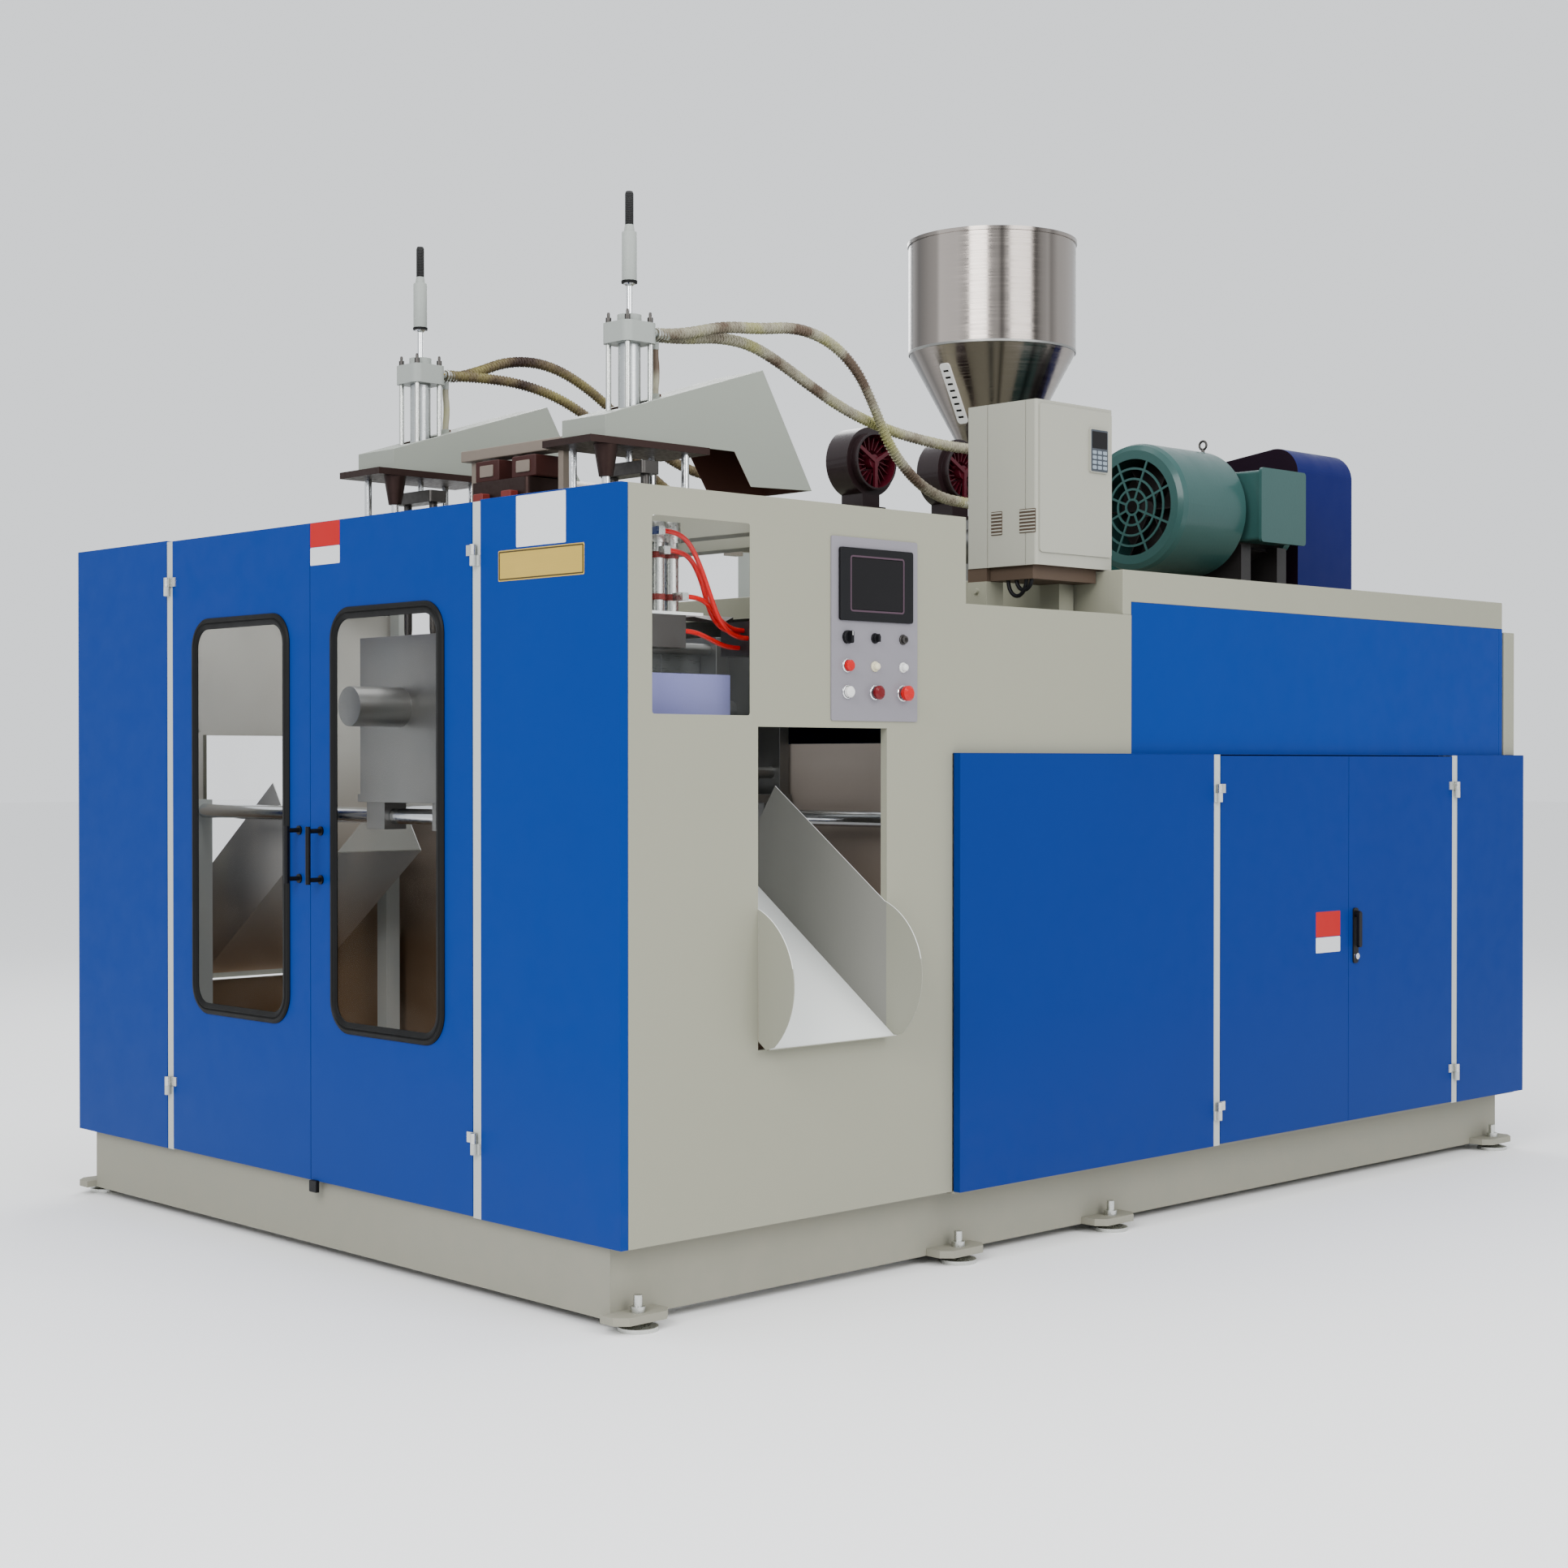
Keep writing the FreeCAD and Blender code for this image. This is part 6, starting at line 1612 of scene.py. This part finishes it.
def makeHead():
    values = headValues
    ahead = toward["front"]
    columns = [front(corner).x * 0.5 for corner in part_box("die_head")]
    wide = [values["boxSpread"] * x for x in columns]
    reach = values["boxReach"]
    boxes = [at(x, stationY + reach, values["boxZ"]) for x in wide]
    plates("headBoxes", boxes, ahead, values["boxSize"], "headBrown", root, 0.003)
    panels = [at(x, stationY - reach, values["boxZ"]) for x in wide]
    plates("headPanels", panels, ahead, values["panelSize"], "headTan", root, 0.001)
    many("headBridge", "headTan", root, bridgeBars)
    width, depth = values["bridgeNuts"]
    top = at(0.0, stationY, values["bridgeTop"])
    spots = [(p, toward["up"], values["nutSize"]) for p in grid(top, (width, 0, 0), (0, depth, 0), 5, 2)]
    width, height = values["coreNuts"]
    plugs = [at(x, stationY - values["coreFace"], values["coreZ"]) for x in columns]
    for place in plugs:
        spots += [(p, ahead, values["nutSize"]) for p in grid(place, (width, 0, 0), (0, 0, height), 2, 2)]
    scatter("headNuts", spots, "hex", "zincPlate")
    plates("headPlugs", plugs, ahead, values["plugSize"], "redBrown", root, 0.002)


makeHead()
print("stations done")

# Motor, guard, gearbox and blowers
driveValues = {
    "motor": (0.780, 2.440),
    "footZ": 2.3195,
    "footReach": 0.170,
    "fins": (3.4345, 3.7555),
    "fanEnd": 3.35,
    "shaftRadius": 0.040,
    # lifting eye: its place along the motor, height of its middle, radius and wire
    "eye": (3.452, 2.706),
    "eyeRadius": 0.016,
    "eyeWire": 0.0045,
    "stem": [(0.011, 2.629), (0.011, 2.636), (0.0065, 2.640), (0.0065, 2.692), (0.0, 2.692)],
    "terminal": (1.062, (3.448, 3.702), (2.338, 2.582)),
    "guardSide": (0.950, (3.860, 4.015, 4.170), (2.150, 2.560)),
    "guardFront": (3.830, 2.150, (-0.18, 0.10, 0.38, 0.88)),
    "guardSize": 0.007,
    "gearFeet": (0.222, 2.144, (3.320, 3.460, 3.600, 3.735)),
    "footSize": 0.013,
    "thrust": (0, 3.300, 2.345),
    "thrustRadius": 0.125,
    "thrustSize": 0.009,
}
blowerValues = {
    "rows": (2.391, 2.883),
    "axisZ": 2.618,
    "hubRadius": 0.0995,
    "faceX": 0.0245,
    "boltX": 0.055,
    "boltRadius": 0.117,
    "boltSize": 0.006,
    "footZ": 2.452,
    "footSpan": (0.126, 0.108),
    "footSize": 0.0065,
    # vanes: where they stand, how many, and their half length, thickness, lean and depth
    "vaneX": 0.030,
    "vaneRadius": 0.066,
    "vanes": 20,
    "vaneHalf": 0.024,
    "vaneThick": 0.003,
    "vaneLean": 0.010,
    "vaneDepth": 0.030,
}
bandScrewValues = {"offset": (0.070, 0.012), "spread": (0.018, 0.018), "size": 0.005}


def motorReach(p):
    return math.dist((p.x, p.z), driveValues["motor"])


def motorLook(p, n):
    # Painted shade: the finned middle of the body, and the parts below the feet line away from the axis, take
    # a near-black.
    start, end = driveValues["fins"]
    shade = p.z < driveValues["footZ"] and motorReach(p) > driveValues["footReach"]
    return "finDark" if shade or start < p.y < end else "motorTeal"


def shaftLook(p, n):
    # The fan end behind the cowl takes the same near-black painted shade.
    if p.y < driveValues["fanEnd"]:
        return "finDark"
    return "castIron" if motorReach(p) > driveValues["shaftRadius"] else "steelBright"


def guardLook(p, n):
    # Painted shade: the front face takes a near-black maroon, the other faces the guard's blue.
    return "guardShade" if n.y < -0.9 else "guardBlue"


def blowerLook(p, n):
    values = blowerValues
    nearest = min(abs(p.y - y) for y in values["rows"])
    hub = math.hypot(nearest, p.z - values["axisZ"]) < values["hubRadius"]
    return "blowerRed" if hub and p.x > values["faceX"] else "blowerDark"


def liftingEye(bm):
    x, axis = driveValues["motor"][0], driveValues["eye"]
    radius = driveValues["eyeRadius"]
    angles = [2 * math.pi * k / 24 for k in range(25)]
    ring = [at(x + radius * math.cos(a), axis[0], axis[1] + radius * math.sin(a)) for a in angles]
    addTube(bm, ring, driveValues["eyeWire"], 10)


def blowerVanes(bm):
    values = blowerValues
    half, thick, lean = values["vaneHalf"], values["vaneThick"], values["vaneLean"]
    for y in values["rows"]:
        centre = at(values["vaneX"], y, values["axisZ"])
        for place in circle(centre, toward["side"], values["vaneRadius"], values["vanes"]):
            radial = (place - centre).normalized()
            across = Vector(toward["side"]).cross(radial)
            outline = [half * radial - lean * across, half * radial - (lean + thick) * across]
            outline += [-half * radial, -half * radial + thick * across]
            addPrism(bm, outline, place, (values["vaneDepth"], 0, 0))


def guardSpots():
    x, rows, levels = driveValues["guardSide"]
    size = driveValues["guardSize"]
    spots = [(at(x, y, z), toward["side"], size) for y in rows for z in levels]
    y, z, columns = driveValues["guardFront"]
    return spots + [(at(x, y, z), toward["front"], size) for x in columns]


def gearboxSpots():
    values = driveValues
    x, z, rows = values["gearFeet"]
    spots = [(at(side * x, y, z), toward["up"], values["footSize"]) for side in (-1, 1) for y in rows]
    ring = circle(at(*values["thrust"]), toward["front"], values["thrustRadius"], 8, 0.5)
    return spots + [(p, toward["front"], values["thrustSize"]) for p in ring]


def blowerSpots():
    values = blowerValues
    width, depth = values["footSpan"]
    spots = []
    for y in values["rows"]:
        ring = circle(at(values["boltX"], y, values["axisZ"]), toward["side"], values["boltRadius"], 8, 0.5)
        feet = grid(at(0, y, values["footZ"]), (width, 0, 0), (0, depth, 0), 2, 2)
        spots += [(p, toward["side"], values["boltSize"]) for p in ring]
        spots += [(p, toward["up"], values["footSize"]) for p in feet]
    return spots


def bandSpots():
    # Four screws low on every heater band, two on each side.
    along, rise = bandScrewValues["offset"]
    across, half = bandScrewValues["spread"]
    size = bandScrewValues["size"]
    bands, groups = islands("heater_bands")
    spots = []
    for group in groups:
        y = min(v.co.y for v in group) + along
        z = min(v.co.z for v in group) + rise
        for side in (-1, 1):
            for dy in (-half, half):
                spots.append((Vector((side * across, y + dy, z)), (side, 0, 0), size))
    bands.free()
    return spots


def makeDrive():
    values = driveValues
    dress("motor_body", "motorFins", ["motorTeal", "finDark"], motorLook, root, 0.0012)
    lookList = ["finDark", "castIron", "steelBright"]
    dress("motor_shaft", "motorRotor", lookList, shaftLook, "motor_shaft", 0.0012)
    dress("belt_guard", "beltGuard", ["guardShade", "guardBlue"], guardLook, root, 0.003)
    lookList = ["blowerDark", "blowerRed"]
    dress("barrel_blowers", "blowerHousings", lookList, blowerLook, root, 0.003)
    many("liftingEye", "steelDark", root, liftingEye)
    place = at(values["motor"][0], values["eye"][0], 0.0)
    turned("liftingStem", values["stem"], [place], toward["up"], "steelDark", root, 16)
    x, rows, levels = values["terminal"]
    spots = [(at(x, y, z), toward["side"], values["guardSize"]) for y in rows for z in levels]
    scatter("terminalScrews", spots, "socket", "steelDark")
    scatter("guardBolts", guardSpots(), "hex", "zincPlate")
    scatter("gearboxBolts", gearboxSpots(), "hex", "steelDark")
    scatter("blowerBolts", blowerSpots(), "hex", "zincPlate")
    many("blowerVanes", "blowerRed", root, blowerVanes)
    scatter("bandScrews", bandSpots(), "socket", "steelDark")


makeDrive()
print("drive done")

# Air unit behind the side window, and the plates on the rear deck that the blow hoses run to
airValues = {
    "deckY": 2.30,
    "plateY": (2.3935, 2.4145),
    "apron": (1.3795, 1.7435),
    "shelfZ": (1.9045, 1.9135),
    "valveX": 1.302,
    "valveY": (0.225, 0.275, 0.325),
    "bandZ": (1.945, 2.060),
    "band": [(0.0195, 0.0), (0.0215, 0.001), (0.0215, 0.017), (0.0195, 0.018)],
}


def airLook(p, n):
    values = airValues
    start, end = values["plateY"]
    low, high = values["shelfZ"]
    apronX, apronZ = values["apron"]
    if p.y > values["deckY"]:
        return "stationGrey" if start < p.y < end else "steelDark"
    if p.z < apronZ and p.x > apronX:
        return "apronBlue"
    if low < p.z < high:
        return "chuteWhite"
    return "zincPlate" if p.z > high else "steelDark"


def makeAirUnit():
    values = airValues
    lookList = ["stationGrey", "steelDark", "apronBlue", "chuteWhite", "zincPlate"]
    dress("valve_racks", "valveRacks", lookList, airLook, root, 0.0015)
    places = [at(values["valveX"], y, z) for y in values["valveY"] for z in values["bandZ"]]
    turned("airBands", values["band"], places, toward["up"], "redBrown", root, 24, True)


makeAirUnit()

# Moulds: aluminium blocks on steel platens, with brass water nipples
mouldValues = {"widest": 0.31, "edge": 0.002, "nipples": (0.04, 0.09), "nippleSize": 0.010}


def dressClamp(node, title):
    values = mouldValues

    def mouldLook(low, high):
        if high.x - low.x < values["widest"]:
            return title + "Mould", "aluminium"
        return title + "Platen", "steelPlate"

    made = splitNode(node, mouldLook, node)
    for piece in made.values():
        softenEdges(piece, values["edge"])
    box = made[title + "Mould"].bound_box
    low, high = Vector(box[0]), Vector(box[6])
    middle = (low + high) / 2
    halfY, halfZ = values["nipples"]
    spots = []
    for side, x in ((-1, low.x), (1, high.x)):
        for dy in (-halfY, halfY):
            for dz in (-halfZ, halfZ):
                place = Vector((x, middle.y + dy, middle.z + dz))
                spots.append((place, (side, 0, 0), values["nippleSize"]))
    scatter(title + "Nipples", spots, "hex", "brassPlate", node)


for side in ("left", "right"):
    for end in ("front", "rear"):
        dressClamp(side + "_clamp_" + end, side + end.capitalize())
print("moulds done")

bpy.context.view_layer.update()
